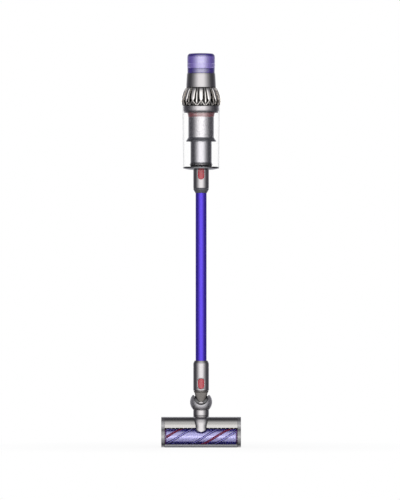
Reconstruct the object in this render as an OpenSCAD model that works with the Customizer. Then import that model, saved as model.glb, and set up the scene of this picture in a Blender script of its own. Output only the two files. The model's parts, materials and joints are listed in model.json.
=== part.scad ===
// Cordless stick vacuum, upright: wand axis on Z, floor at z = 0, front towards -Y.

/* [Fits] */
// Gap between parts that move past each other
slide_gap = 0.3; // [0.2:0.05:0.5]
// Gap between parts that are fixed to each other
seat_gap = 0.05; // [0.02:0.01:0.1]
// Radial clearance of a pin in its bore
pin_fit = 0.05; // [0.02:0.01:0.1]

/* [Wand] */
// Outside radius of the wand tube
wand_r = 17.6; // [15:0.1:20]
// Wall of the wand tube
wand_wall = 1.5; // [1:0.1:2.5]
// Height of the lower end of the lower connector
connector_z = 180; // [178:1:190]
// Length of the lower connector
connector_len = 96; // [85:1:120]
// Outside radius of the lower connector and of the inlet collar
collar_r = 25; // [24:0.1:28]
// Length of wand that shows between connector and shoulder ring
wand_len = 535; // [400:1:600]
// Length of the tapered shoulder ring at the top of the wand
shoulder_len = 15; // [10:1:20]
// Length of wand that enters the inlet collar
spigot_len = 36; // [30:1:45]

/* [Neck] */
// Height of the pitch axis
pivot_z = 144; // [142:1:150]
// Radius of the ball-shaped yoke
ball_r = 35.5; // [33:0.5:38]
// Radius of the barrel that turns in the yoke
barrel_r = 20; // [19:0.5:21]
// Width of the barrel
barrel_w = 44; // [40:1:46]
// Radius of the pivot pins
pin_r = 5; // [4:0.5:6]
// Depth of the neck spigot in the lower connector
neck_spigot_len = 34; // [30:1:50]
// Height of the swivel face between collar and head
swivel_z = 101; // [99:0.5:103]
// Height of the swivel collar
swivel_h = 17; // [14:0.5:18]

/* [Head] */
// Width of the floor head over its end caps
head_w = 254; // [220:1:280]
// Thickness of an end cap
end_cap_t = 11; // [8:0.5:14]
// Depth of the head from front to back
head_d = 118; // [112:1:130]
// Height of the head housing
head_h = 96; // [93:1:98]
// Distance from the wand axis forward to the front of the window
head_front = 65.6; // [62:0.1:70]
// Radius of the roller over its velvet
roller_r = 32; // [30:0.5:33]
// Height of the roller axis
roller_z = 34; // [33.5:0.5:36]
// Running gap between velvet and chamber
roller_gap = 3; // [2:0.5:4]
// Wall of the clear window
window_t = 1.6; // [1.2:0.1:2]
// Height of the lower edge of the window
window_low_z = 9.6; // [8:0.2:12]
// Height of the upper edge of the window
window_top_z = 62.6; // [60:0.2:64]
// Thickness of the sole plate
sole_t = 3; // [2.5:0.1:4]
// Radius of the rear wheels
wheel_r = 9; // [8:0.5:10]

/* [Bin] */
// Length of the inlet collar under the lid
inlet_collar_len = 61; // [58:1:70]
// Thickness of the lid
lid_t = 5; // [4:0.5:6]
// Outside radius of the clear bin at its upper end
bin_top_r = 60; // [59:0.5:62]
// How much smaller that radius is at the lower end
bin_draft = 2; // [1:0.5:3]
// Length of the clear bin
bin_len = 200; // [180:1:210]
// Wall of the clear bin
bin_wall = 2; // [1.5:0.1:2.5]
// Radius of the inlet bore
inlet_r = 15; // [13:0.5:16]

/* [Cyclones] */
// Number of cyclones in the ring
cyclone_n = 14; // [10:1:14]
// Radius of one cyclone
cyclone_r = 9.7; // [8:0.1:9.8]
// Clearance between the cyclone collar and the bin
bin_play = 1; // [0.5:0.1:2]
// Radius of the shroud mesh
shroud_r = 40.6; // [38:0.2:42]
// Radius of the fine dust tube
dust_tube_r = 33.9; // [32:0.1:35]

/* [Motor] */
// Radius of the motor housing at its lower edge
motor_low_r = 47.5; // [46:0.5:49]
// Radius of the motor housing at its upper edge
motor_top_r = 45; // [44.5:0.5:46]
// Height of the motor housing
motor_h = 44; // [40:1:48]
// Radius of the motor can
motor_can_r = 26; // [22:0.5:28]
// Radius of the impeller
impeller_r = 22; // [18:0.5:24]
// Radius of the motor shaft
shaft_r = 2.5; // [2:0.1:3]

/* [Filter] */
// Radius of the filter unit
filter_r = 44; // [43:0.5:44.5]
// Height of the bayonet ring under the filter
filter_ring_h = 14.7; // [12:0.1:18]
// Height of the filter above its ring
filter_h = 48.7; // [46:0.1:55]
// Number of pleats in the filter
pleat_n = 36; // [24:1:44]
// Radius of the screen disc
screen_r = 21.5; // [19:0.5:22]

/* [Grip and battery] */
// Angle of the grip below the horizontal
grip_angle = 24; // [18:1:28]
// Length of the grip
grip_len = 100; // [94:1:106]
// Width of the grip
grip_w = 31; // [28:1:34]
// Depth of the grip
grip_d = 36; // [32:1:38]
// Width of the trigger
trigger_w = 15; // [12:0.5:16]
// Width of the battery
battery_w = 72; // [70:1:78]
// Depth of the battery
battery_d = 50; // [48:1:56]
// Length of the battery
battery_h = 116; // [112:1:124]
// Radius of an 18650 cell
cell_r = 9.2; // [9:0.1:9.3]
// Length of an 18650 cell
cell_len = 65; // [60:1:66]
// Radius of the charge socket bore
charge_r = 3; // [2.5:0.1:3.5]

/* [Hidden] */
$fn = 96;
far = 400;                                       // longer than any cut needs
cut = 1;                                         // overshoot of a cut past a face

// Heights, from the floor up
connector_top = connector_z + connector_len;
shoulder_z = connector_top + wand_len;
collar_z = shoulder_z + shoulder_len;            // lower end of the inlet collar
wand_top = collar_z + spigot_len;
lid_z = collar_z + inlet_collar_len;
lid_top = lid_z + lid_t;
boss_h = 11;                                     // ring on the lid that meets the dust tube
boss_top = lid_top + boss_h;
tube_seal_z = boss_top + slide_gap;
tube_seal_h = 4.7;
dust_tube_z = tube_seal_z + tube_seal_h;
dust_tube_len = 67;
skirt_z = dust_tube_z + dust_tube_len;
skirt_h = 14;
mesh_z = skirt_z + skirt_h;
seal_cone_h = 13;
cyclone_collar_h = 21;
rim_rise = 4;                                    // rim of the bin above the foot of the cyclones
mesh_h = bin_len - rim_rise - cyclone_collar_h - seal_cone_h - (mesh_z - lid_top);
seal_cone_z = mesh_z + mesh_h;
cyclone_collar_z = seal_cone_z + seal_cone_h;
cyclone_z = cyclone_collar_z + cyclone_collar_h;
cyclone_h = 61;
motor_z = cyclone_z + cyclone_h;
motor_top = motor_z + motor_h;
filter_ring_z = motor_top + slide_gap;
filter_z = filter_ring_z + filter_ring_h + slide_gap;
top_z = filter_z + filter_h;

// Fits derived from the pieces they join
wand_bore_r = wand_r + slide_gap;                // inlet collar round the wand
neck_r = 20;                                     // neck spigot
neck_bore_r = neck_r + slide_gap;
air_r = 14.5;                                    // air way through neck and duct
catch_floor = neck_bore_r + 1;                   // floor of a catch pocket, from the axis
catch_travel = 2;
catch_t = 3;
catch_w = 20.4;
catch_h = 32.6;

// Wand -------------------------------------------------------------------
module ring(r_out, r_in, h) difference() {
    cylinder(r = r_out, h = h);
    translate([0, 0, -cut]) cylinder(r = r_in, h = h + 2 * cut);
}

module wand_tube() color("#4A22C8")
    translate([0, 0, connector_z + neck_spigot_len + 4])
        ring(wand_r, wand_r - wand_wall, wand_top - connector_z - neck_spigot_len - 4);

module wand_shoulder() color("#55555A") difference() {
    translate([0, 0, shoulder_z]) cylinder(r1 = wand_r + 0.6, r2 = collar_r, h = shoulder_len - slide_gap);
    translate([0, 0, shoulder_z - cut]) cylinder(r = wand_r + seat_gap, h = shoulder_len + 2 * cut);
}

connector_taper = 8;                             // tapered upper end of the lower connector
connector_top_r = 22;
module lower_connector() color("#B9B9BE") difference() {
    translate([0, 0, connector_z]) rotate_extrude() polygon([[neck_bore_r, 0], [collar_r, 0],
        [collar_r, connector_len - connector_taper], [connector_top_r, connector_len],
        [wand_r + seat_gap, connector_len], [wand_r + seat_gap, neck_spigot_len + 4],
        [air_r + 1, neck_spigot_len + 4], [air_r + 1, neck_spigot_len + 1],
        [neck_bore_r, neck_spigot_len + 1]]);
    catch_pocket(lower_catch_z);
}

channel_w = 7;
channel_t = 2.4;
module wand_cable_channel() color("#222226")
    translate([-channel_w / 2, wand_r - wand_wall - channel_t - 1.1, connector_z + neck_spigot_len + 8])
        cube([channel_w, channel_t, wand_top - connector_z - neck_spigot_len - 12]);

// Catches: red push buttons on the two collars ------------------------------
lower_catch_z = connector_z + 6;                 // lower edge of the lower catch
upper_catch_z = lid_z - catch_h;

module catch_outline(grow) translate([0, catch_w / 2 - grow]) union() {
    translate([0, grow]) circle(r = catch_w / 2 + grow);
    translate([-catch_w / 2 - grow, 0]) square([catch_w + 2 * grow, catch_h - catch_w / 2 + 2 * grow]);
}

module catch_bar(z, grow, from_y, to_y) translate([0, to_y, z]) rotate([90, 0, 0])
    linear_extrude(to_y - from_y) catch_outline(grow);

module catch_pocket(z) catch_bar(z, slide_gap, -far / 4, -catch_floor);

module push_catch(z) color("#B3202F") intersection() {
    catch_bar(z, 0, -far / 4, -catch_floor - catch_travel - slide_gap);
    cylinder(r = collar_r + 1.4, h = top_z);
}

module lower_catch() push_catch(lower_catch_z);
module upper_catch() push_catch(upper_catch_z - slide_gap);

// Neck -----------------------------------------------------------------------
neck_flange_h = 5;
neck_flange_r = 23.5;
neck_cone_r = 21.5;
neck_waist_r = 16.5;                             // the neck narrows towards its pivot
module neck() color("#6E6E74") difference() {
    union() {
        translate([0, 0, connector_z - slide_gap]) cylinder(r = neck_r, h = neck_spigot_len);
        translate([0, 0, connector_z - slide_gap - neck_flange_h]) cylinder(r = neck_flange_r, h = neck_flange_h);
        translate([0, 0, pivot_z]) cylinder(r1 = neck_waist_r, r2 = neck_cone_r,
            h = connector_z - slide_gap - neck_flange_h - pivot_z);
        translate([-barrel_w / 2, 0, pivot_z]) rotate([0, 90, 0]) cylinder(r = barrel_r, h = barrel_w);
    }
    translate([0, 0, pivot_z - barrel_r - cut]) cylinder(r = pin_r + 7, h = barrel_r + cut);
    translate([0, 0, pivot_z - 6]) cylinder(r = air_r, h = far / 2);
    translate([-barrel_w, 0, pivot_z]) rotate([0, 90, 0]) cylinder(r = pin_r + pin_fit, h = 2 * barrel_w);
}

ball_low_z = swivel_z + swivel_h;                // flat underside of the ball
ball_rise = 22;
ball_top_z = pivot_z + ball_rise;
slot_w = barrel_w + 2 * slide_gap;
cradle_z = ball_top_z - 8.5;                     // centre of the round cut in the front of the ball
module ball_yoke() color("#8A8A90") difference() {
    intersection() {
        translate([0, 0, pivot_z]) sphere(r = ball_r);
        translate([-far / 2, -far / 2, ball_low_z]) cube([far, far, ball_top_z - ball_low_z]);
    }
    translate([-slot_w / 2, 0, pivot_z]) rotate([0, 90, 0])
        cylinder(r = barrel_r + slide_gap, h = slot_w);
    translate([0, 0, cradle_z]) rotate([90, 0, 0]) cylinder(r = slot_w / 2, h = far / 2);
    translate([-slot_w / 2, -far / 2, cradle_z]) cube([slot_w, far / 2, far]);
    translate([-slot_w / 2, 0, pivot_z - barrel_r - slide_gap]) cube([slot_w, far / 2, far]);
    translate([0, 0, ball_low_z - cut]) cylinder(r = air_r, h = far / 4);
    translate([-far / 2, 0, pivot_z]) rotate([0, 90, 0]) cylinder(r = pin_r + pin_fit, h = far);
}

pin_in_x = 17;
module pivot_pins() color("#55555A") for (side = [-1, 1])
    translate([side * pin_in_x, 0, pivot_z]) rotate([0, side * 90, 0])
        cylinder(r = pin_r, h = ball_r - 1.5 - pin_in_x);

swivel_spigot_r = 17;
swivel_spigot_h = 11;
module swivel_collar() color("#B9B9BE") difference() {
    union() {
        translate([0, 0, swivel_z + slide_gap]) cylinder(r = collar_r, h = swivel_h - slide_gap);
        translate([0, 0, swivel_z - swivel_spigot_h]) cylinder(r = swivel_spigot_r, h = swivel_spigot_h + cut);
    }
    translate([0, 0, swivel_z - far / 2]) cylinder(r = air_r, h = far);
}

// Floor head -------------------------------------------------------------------
function arc(cy, cz, r, from, to) = [for (i = [0:12]) let (a = from + (to - from) * i / 12)
    [cy + r * cos(a), cz + r * sin(a)]];

chamber_r = roller_r + roller_gap;
window_r = chamber_r + window_t;
roller_y = window_r - head_front;                // roller axis, forward of the wand axis
head_back = head_d - head_front;
inner_w = head_w - 2 * end_cap_t;                // width between the end caps
nose_front = head_front - 8;                     // front of the housing over the window
front_round = 26;
back_round = 30;
sole_clear = 0.5;                                // end caps stand this far off the floor

// Side outline of the housing, as [y, z] points
housing_side = concat([[-nose_front, window_top_z]],
    arc(front_round - nose_front, head_h - front_round, front_round, 180, 90),
    arc(head_back - back_round, head_h - back_round, back_round, 90, 0), [[head_back, sole_t]],
    [[roller_y, sole_t]]);

// Draws a [y, z] outline and gives it a width along X
module across(w) translate([-w / 2, 0, 0]) rotate([90, 0, 90]) linear_extrude(w) children();

module about_roller(r, w) translate([-w / 2, roller_y, roller_z]) rotate([0, 90, 0]) cylinder(r = r, h = w);

board_z = 24;                                    // floor of the space for the head's board
board_y = 14;
bay_h = 36;                                      // height of that space
shell_t = 4;                                     // wall of the housing around its hollows
well_w = 16;
wheel_x = 70;
wheel_y = head_back - wheel_r - 1;
wheel_z = wheel_r + 0.3;

module head_housing() color("#A9A9AE") difference() {
    across(inner_w - 2 * seat_gap) polygon(housing_side);
    about_roller(chamber_r, head_w);
    translate([-far / 2, roller_y - far, 0]) cube([far, far, window_top_z]);
    translate([0, 0, roller_z]) cylinder(r = air_r, h = far);
    translate([-inner_w / 2 + 6, board_y, board_z]) cube([inner_w - 12, head_back - board_y - shell_t, bay_h]);
    translate([0, 0, swivel_z - swivel_spigot_h - slide_gap]) cylinder(r = swivel_spigot_r + slide_gap, h = far);
    for (side = [-1, 1]) translate([side * (swivel_spigot_r + shell_t + roof_w / 2), 0, 0]) difference() {
        across(roof_w) polygon(roof_hollow);
        about_roller(chamber_r + shell_t, head_w);
    }
    for (side = [-1, 1]) translate([side * wheel_x, 0, 0]) {
        translate([-well_w / 2, wheel_y - wheel_r - 1, 0]) cube([well_w, far, board_z - 4]);
        translate([-wheel_pin_len / 2, wheel_y, wheel_z]) rotate([0, 90, 0])
            cylinder(r = wheel_pin_r + seat_gap, h = wheel_pin_len);
    }
}

// Hollow above the roller chamber, either side of the air duct, as [y, z] points
roof_w = inner_w / 2 - 6 - swivel_spigot_r - shell_t;
roof_hollow = concat([[-nose_front + front_round / 2, roller_z]],
    arc(front_round - nose_front, head_h - front_round, front_round - shell_t, 150, 90),
    arc(head_back - back_round, head_h - back_round, back_round - shell_t, 90, 0), [[head_back - shell_t, board_z]]);

module end_cap(side) color("#3A3A40") translate([side * (head_w - end_cap_t) / 2, 0, 0]) difference() {
    intersection() {
        union() {
            across(end_cap_t) polygon(housing_side);
            about_roller(window_r, end_cap_t);
            across(end_cap_t) polygon([[-nose_front, roller_z], [roller_y, roller_z], [head_back, roller_z],
                [head_back, sole_clear], [-nose_front + 6, sole_clear]]);
        }
        translate([-far / 2, -far / 2, sole_clear]) cube(far);
    }
    translate([-far / 2, roller_y, roller_z]) rotate([0, 90, 0]) cylinder(r = stub_r + seat_gap, h = far);
}
module end_cap_left() end_cap(-1);
module end_cap_right() end_cap(1);

module roller_window() color("#DADAE6", 0.4) intersection() {
    difference() {
        about_roller(window_r - seat_gap, inner_w - 2 * seat_gap);
        about_roller(chamber_r, head_w);
    }
    translate([-far / 2, roller_y - far, window_low_z]) cube([far, far - 3, window_top_z - window_low_z - seat_gap]);
}

lip_depth = 7;
module front_lip() color("#707076") difference() {
    translate([-inner_w / 2 + seat_gap, -head_front + 4, sole_t])
        cube([inner_w - 2 * seat_gap, lip_depth, window_low_z - sole_t - seat_gap]);
    about_roller(chamber_r - 1, head_w);
}

mouth_forward = 20;                              // reach of the mouth before the roller axis
mouth_rear = 17;                                 // and behind it
mouth_front = roller_y - mouth_forward;
mouth_back = roller_y + mouth_rear;
mouth_w = inner_w - 8;
module sole_plate() color("#4A4A50") difference() {
    translate([-inner_w / 2 + seat_gap, -head_front + 4, 0])
        cube([inner_w - 2 * seat_gap, head_d - 4, sole_t]);
    translate([-mouth_w / 2, mouth_front, -cut]) cube([mouth_w, mouth_back - mouth_front, sole_t + 2 * cut]);
    for (side = [-1, 1]) translate([side * wheel_x - well_w / 2, wheel_y - wheel_r - 1, -cut])
        cube([well_w, far, sole_t + 2 * cut]);
}

nose_r = 18.3;                                   // half width of the nose over the window
nose_low_z = 49;
nose_wide_z = 69;
duct_lip_h = 5;
nose_flat = 1.6;                                 // how far the nose stands proud of the window
nose_bow_r = 36;                                 // depth and height of the bow over the head
nose_top_z = head_h + 2;
nose_bow_y = nose_bow_r - head_front - nose_flat;
// The bow seen from the side: a squared quarter round, as [y, z] points
nose_bow = [for (i = [0:16]) let (a = 90 - 90 * i / 16)
    [nose_bow_y - nose_bow_r * sqrt(cos(a)), nose_top_z - nose_bow_r + nose_bow_r * sqrt(sin(a))]];
module duct_nose() color("#C4C4C8") difference() {
    union() {
        intersection() {
            translate([0, collar_r, 0]) rotate([90, 0, 0]) linear_extrude(collar_r + head_front + nose_flat) union() {
                polygon([[-nose_r, nose_low_z + nose_r], [nose_r, nose_low_z + nose_r], [nose_r, nose_wide_z],
                    [collar_r, swivel_z - duct_lip_h], [collar_r, swivel_z], [-collar_r, swivel_z],
                    [-collar_r, swivel_z - duct_lip_h], [-nose_r, nose_wide_z]]);
                translate([0, nose_low_z + nose_r]) circle(r = nose_r);
            }
            across(2 * collar_r) polygon(concat([[0, nose_top_z]], nose_bow,
                [[-head_front - nose_flat, nose_low_z - 1], [0, nose_low_z - 1]]));
        }
        translate([0, 0, head_h - 10]) cylinder(r = collar_r, h = swivel_z - head_h + 10);
    }
    across(head_w) polygon(housing_side);
    about_roller(window_r + seat_gap, head_w);
    translate([0, 0, swivel_z - swivel_spigot_h - slide_gap]) cylinder(r = swivel_spigot_r + slide_gap, h = far);
    translate([0, 0, 0]) cylinder(r = air_r, h = far);
}

board_w = 80;
module head_board() color("#1F5A3A")
    translate([-board_w / 2, board_y + 1, board_z]) cube([board_w, head_back - board_y - shell_t - 2, 1.6]);

// Roller ------------------------------------------------------------------------
stub_r = 4;
core_r = roller_r - 4;
core_bore_r = roller_r - 8;
brush_motor_r = 18;
end_gap = 1;                                     // between roller and end caps
roller_len = inner_w - 2 * end_gap;
brush_motor_len = 70;
bearing_w = 7;

module brush_motor() color("#77777C") union() {
    translate([-inner_w / 2 + seat_gap, roller_y, roller_z]) rotate([0, 90, 0])
        cylinder(r = brush_motor_r, h = brush_motor_len);
    translate([-inner_w / 2 - end_cap_t + 2, roller_y, roller_z]) rotate([0, 90, 0])
        cylinder(r = stub_r, h = end_cap_t);
}
module roller_stub() color("#9A9AA0")
    translate([inner_w / 2 - end_gap - bearing_w - 2, roller_y, roller_z]) rotate([0, 90, 0])
        cylinder(r = stub_r, h = end_gap + bearing_w + end_cap_t);
module roller_bearing() color("#B8B8BC")
    translate([roller_len / 2 - bearing_w - 1, roller_y, roller_z]) rotate([0, 90, 0])
        ring(11, stub_r + pin_fit, bearing_w);
core_plug = 14;                                  // closed end of the roller tube
module roller_core() color("#55206A") difference() {
    about_roller(core_r, roller_len);
    translate([-far, roller_y, roller_z]) rotate([0, 90, 0]) cylinder(r = core_bore_r, h = far + roller_len / 2 - core_plug);
    translate([roller_len / 2 - bearing_w - 1, roller_y, roller_z]) rotate([0, 90, 0])
        cylinder(r = 11 + seat_gap, h = far);
    translate([0, roller_y, roller_z]) rotate([0, 90, 0]) cylinder(r = stub_r + 0.4, h = far);
}
velvet_len = mouth_w - 2 * slide_gap;
module roller_velvet() color("#3A2FA0") translate([-velvet_len / 2, roller_y, roller_z])
    rotate([0, 90, 0]) ring(roller_r, core_r + seat_gap, velvet_len);

wheel_w = 11;
wheel_pin_r = 2;
wheel_pin_len = 26;
module rear_wheels() color("#2A2A2E") for (side = [-1, 1])
    translate([side * wheel_x - wheel_w / 2, wheel_y, wheel_z]) rotate([0, 90, 0])
        ring(wheel_r, wheel_pin_r + pin_fit, wheel_w);
module wheel_pins() color("#9A9AA0") for (side = [-1, 1])
    translate([side * wheel_x - wheel_pin_len / 2 + cut, wheel_y, wheel_z]) rotate([0, 90, 0])
        cylinder(r = wheel_pin_r, h = wheel_pin_len - 2 * cut);

// Lid and bin ---------------------------------------------------------------------
bin_low_r = bin_top_r - bin_draft;
hinge_y = bin_low_r + 8;
hinge_z = lid_z + lid_t / 2;
hinge_r = 4.5;
hinge_pin_r = 2;
knuckle_w = 10;
knuckle_gap = 0.3;
boss_r = 36.5;
boss_in_r = 31;
module lid() color("#4A4A50") difference() {
    union() {
        translate([0, 0, lid_z]) rotate_extrude() polygon([[0, 0], [collar_r + 4, 0], [bin_low_r - 0.5, lid_t - 2.2],
            [bin_low_r, lid_t - 1.2], [bin_low_r, lid_t], [boss_r - 1.5, lid_t], [boss_r - 4, lid_t + 2],
            [boss_r, lid_t + boss_h - 1], [boss_r, lid_t + boss_h], [boss_in_r, lid_t + boss_h], [boss_in_r, lid_t], [0, lid_t]]);
        translate([-knuckle_w / 2, hinge_y, hinge_z]) rotate([0, 90, 0]) cylinder(r = hinge_r, h = knuckle_w);
        translate([-knuckle_w / 2, bin_low_r - 6, lid_z + lid_t - 3.2]) cube([knuckle_w, hinge_y - bin_low_r + 6, 3]);
    }
    translate([0, 0, lid_z - cut]) cylinder(r = inlet_r, h = far);
    translate([-knuckle_w, hinge_y, hinge_z]) rotate([0, 90, 0]) cylinder(r = hinge_pin_r + pin_fit, h = 2 * knuckle_w);
    translate([0, 0, lid_top - 1]) ring(lid_seal_r + seat_gap, lid_seal_r - 3 - seat_gap, far / 4);
}
lid_seal_r = bin_low_r - bin_wall - 0.6;
module lid_seal() color("#1C1C1E") translate([0, 0, lid_top - 1]) ring(lid_seal_r, lid_seal_r - 3, 3.2);
module lid_hinge_pin() color("#9A9AA0") translate([-knuckle_w - knuckle_gap - 3, hinge_y, hinge_z])
    rotate([0, 90, 0]) cylinder(r = hinge_pin_r, h = 2 * (knuckle_w + knuckle_gap + 3));

module inlet_collar() color("#B9B9BE") difference() {
    translate([0, 0, collar_z]) cylinder(r = collar_r, h = inlet_collar_len);
    translate([0, 0, collar_z - cut]) cylinder(r = wand_bore_r, h = spigot_len + 2 * cut + 1);
    translate([0, 0, collar_z]) cylinder(r = inlet_r, h = far);
    catch_pocket(upper_catch_z - slide_gap);
}

bin_z = lid_top + slide_gap;
bin_top = lid_top + bin_len;
module clear_bin() color("#E8ECF2", 0.3) rotate_extrude() polygon([[bin_low_r - bin_wall, bin_z],
    [bin_low_r, bin_z], [bin_top_r, bin_top - 3], [bin_top_r, bin_top], [bin_top_r - bin_wall, bin_top],
    [bin_top_r - bin_wall, bin_top - 3]]);

runner_w = 18;
runner_y = bin_top_r + 0.3;
runner_t = 5.5;
module bin_runner() color("#77777C") difference() {
    union() {
        translate([-runner_w / 2, bin_low_r - 1, hinge_z + hinge_r + 1.5])
            cube([runner_w, runner_y + runner_t - bin_low_r + 1, bin_top - hinge_z - hinge_r - 4]);
        for (side = [-1, 1]) translate([side * (knuckle_w / 2 + knuckle_gap + 4) - 4, 0, 0]) {
            translate([0, hinge_y, hinge_z]) rotate([0, 90, 0]) cylinder(r = hinge_r, h = 8);
            translate([0, hinge_y - hinge_r, hinge_z]) cube([8, hinge_r + runner_y + runner_t - hinge_y, 8]);
        }
    }
    rotate_extrude() polygon([[0, bin_z - 5], [bin_low_r + seat_gap, bin_z - 5], [bin_low_r + seat_gap, bin_z],
        [bin_top_r + seat_gap, bin_top - 3], [bin_top_r + seat_gap, bin_top + 5], [0, bin_top + 5]]);
    translate([-runner_w, hinge_y, hinge_z]) rotate([0, 90, 0]) cylinder(r = hinge_pin_r + pin_fit, h = 2 * runner_w);
}

// Separator: everything inside and above the clear bin ------------------------------
tube_wall = 2;
module dust_tube_seal() color("#1C1C1E") translate([0, 0, tube_seal_z])
    ring(dust_tube_r + 1.4, dust_tube_r - tube_wall, tube_seal_h);
module dust_tube() color("#707076") translate([0, 0, dust_tube_z])
    ring(dust_tube_r, dust_tube_r - tube_wall, dust_tube_len);

duct_wall = 2;
duct_flange_h = 3;
duct_len = 95;
module inlet_duct() color("#55555A") difference() {
    union() {
        translate([0, 0, bin_z]) cylinder(r = inlet_r + duct_wall, h = duct_len);
        translate([0, 0, skirt_z - duct_flange_h]) cylinder(r = dust_tube_r - tube_wall - seat_gap, h = duct_flange_h);
    }
    translate([0, 0, bin_z - cut]) cylinder(r = inlet_r, h = duct_len - 2);
    translate([0, 0, skirt_z + 2]) rotate([90, 0, 0]) cylinder(r = inlet_r - 6, h = far);
}

skirt_r = 48.4;
module shroud_skirt() color("#232326") translate([0, 0, skirt_z]) rotate_extrude() polygon([
    [dust_tube_r - tube_wall, 0], [skirt_r, 0], [skirt_r, 1.5], [shroud_r + 0.6, skirt_h - 1], [shroud_r + 0.6, skirt_h],
    [dust_tube_r - tube_wall, skirt_h]]);

mesh_wall = 1.2;
module shroud_mesh() color("#8E8E94") translate([0, 0, mesh_z]) ring(shroud_r, shroud_r - mesh_wall, mesh_h);

seal_cone_r = 44;
module shroud_seal() color("#8A2A2A") translate([0, 0, seal_cone_z]) rotate_extrude() polygon([
    [shroud_r - mesh_wall, 0], [shroud_r, 0], [seal_cone_r, seal_cone_h], [shroud_r - mesh_wall, seal_cone_h]]);

lip_h = 7;
core_in_r = 33;
cyclone_collar_r = bin_top_r - bin_wall - bin_play;
module cyclone_collar() color("#8A8A90") translate([0, 0, cyclone_collar_z]) rotate_extrude() polygon([
    [core_in_r, 0], [cyclone_collar_r - 3, 0], [cyclone_collar_r, lip_h], [cyclone_collar_r, cyclone_collar_h],
    [core_in_r, cyclone_collar_h]]);

cyclone_top_r = motor_low_r + 1;                 // axis of a cyclone, from the centre, at its top
cyclone_inset = 4.3;
cyclone_low_r = bin_top_r - cyclone_inset;       // and at its lower end
cyclone_low_z = 13.5;
cyclone_tip_h = 7.5;
cyclone_tip_r = 4;
cyclone_high_z = 42;
cyclone_core_r = motor_low_r - 1;
cyclone_tilt = atan((cyclone_low_r - cyclone_top_r) / (cyclone_high_z - cyclone_low_z));
cyclone_body_len = (cyclone_high_z - cyclone_low_z) / cos(cyclone_tilt);
module cyclones() color("#8C867E") translate([0, 0, cyclone_z]) difference() {
    union() {
        cylinder(r = cyclone_core_r, h = cyclone_h);
        for (i = [0:cyclone_n - 1]) rotate([0, 0, i * 360 / cyclone_n - 90])
            translate([cyclone_top_r, 0, cyclone_high_z]) rotate([0, 180 - cyclone_tilt, 0]) {
                sphere(r = cyclone_r, $fn = 48);
                cylinder(r = cyclone_r, h = cyclone_body_len, $fn = 48);
                translate([0, 0, cyclone_body_len]) cylinder(r1 = cyclone_r, r2 = cyclone_tip_r, h = cyclone_tip_h, $fn = 48);
            }
    }
    translate([0, 0, -cut]) cylinder(r = core_in_r, h = cyclone_h + 2 * cut);
}

// Motor -----------------------------------------------------------------------------
housing_wall = 2.5;
deck_t = 3;
deck_hole_r = 4.5;
deck_hole_n = 10;
column_r = 18;
column_wall = 2;
module motor_housing() color("#C4C4C8") translate([0, 0, motor_z]) difference() {
    cylinder(r1 = motor_low_r, r2 = motor_top_r, h = motor_h);
    translate([0, 0, -cut]) cylinder(r = motor_top_r - housing_wall, h = motor_h - deck_t + cut);
    for (i = [0:deck_hole_n - 1]) rotate([0, 0, i * 360 / deck_hole_n])
        translate([(column_r + motor_top_r) / 2 - 1, 0, 0]) cylinder(r = deck_hole_r, h = motor_h + cut);
}

mount_web = 3;
mount_h = 30;
mount_r = motor_can_r + 4;
can_len = 32;
can_end = 6;
can_z = motor_z + 1;
module motor_mount() color("#26262A") difference() {
    union() {
        translate([0, 0, motor_z]) cylinder(r = motor_top_r - housing_wall - seat_gap, h = mount_web);
        translate([0, 0, motor_z]) cylinder(r = mount_r, h = mount_h);
    }
    translate([0, 0, can_z]) cylinder(r = motor_can_r + seat_gap, h = far);
    translate([0, 0, motor_z - cut]) cylinder(r = motor_can_r - 3, h = far);
    for (i = [0:7]) rotate([0, 0, i * 45]) translate([(mount_r + motor_top_r) / 2 - 1, 0, motor_z - cut])
        cylinder(r = 4, h = mount_web + 2 * cut);
}
can_wall = 2;
module motor_can() color("#9A9AA0") translate([0, 0, can_z]) difference() {
    cylinder(r = motor_can_r, h = can_len);
    translate([0, 0, can_end]) cylinder(r = motor_can_r - can_wall, h = can_len - 2 * can_end);
    translate([0, 0, -cut]) cylinder(r = bearing_r + seat_gap, h = far);
}
bearing_r = 8;
motor_bearing_h = 5;
module motor_bearings() color("#B8B8BC") for (z = [can_z + 0.5, can_z + can_len - motor_bearing_h - 0.5])
    translate([0, 0, z]) ring(bearing_r, shaft_r + pin_fit, motor_bearing_h);
module motor_stator() color("#A8643A") translate([0, 0, can_z + can_end + 1])
    ring(motor_can_r - can_wall - seat_gap, rotor_r + 0.8, can_len - 2 * can_end - 2);

rotor_r = 12;
impeller_drop = 24;
impeller_z = can_z - impeller_drop;
impeller_h = 12;
blade_n = 9;
module impeller() color("#2E2E33") union() {
    translate([0, 0, impeller_z]) cylinder(r = shaft_r, h = can_z + can_len + 2 - impeller_z);
    translate([0, 0, can_z + can_end + 2]) cylinder(r = rotor_r, h = can_len - 2 * can_end - 4);
    translate([0, 0, impeller_z]) cylinder(r = impeller_r, h = 2);
    translate([0, 0, impeller_z]) cylinder(r1 = impeller_r / 2, r2 = shaft_r + 2, h = impeller_h);
    for (i = [0:blade_n - 1]) rotate([0, 0, i * 360 / blade_n])
        translate([shaft_r + 1, -0.6, impeller_z + 1]) cube([impeller_r - shaft_r - 2, 1.2, impeller_h - 3]);
}

board_t = 1.6;
module control_board() color("#1F5A3A") translate([0, 0, motor_top - deck_t - board_t - seat_gap])
    ring(motor_top_r - housing_wall - 2, bearing_r + 2, board_t);

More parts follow.
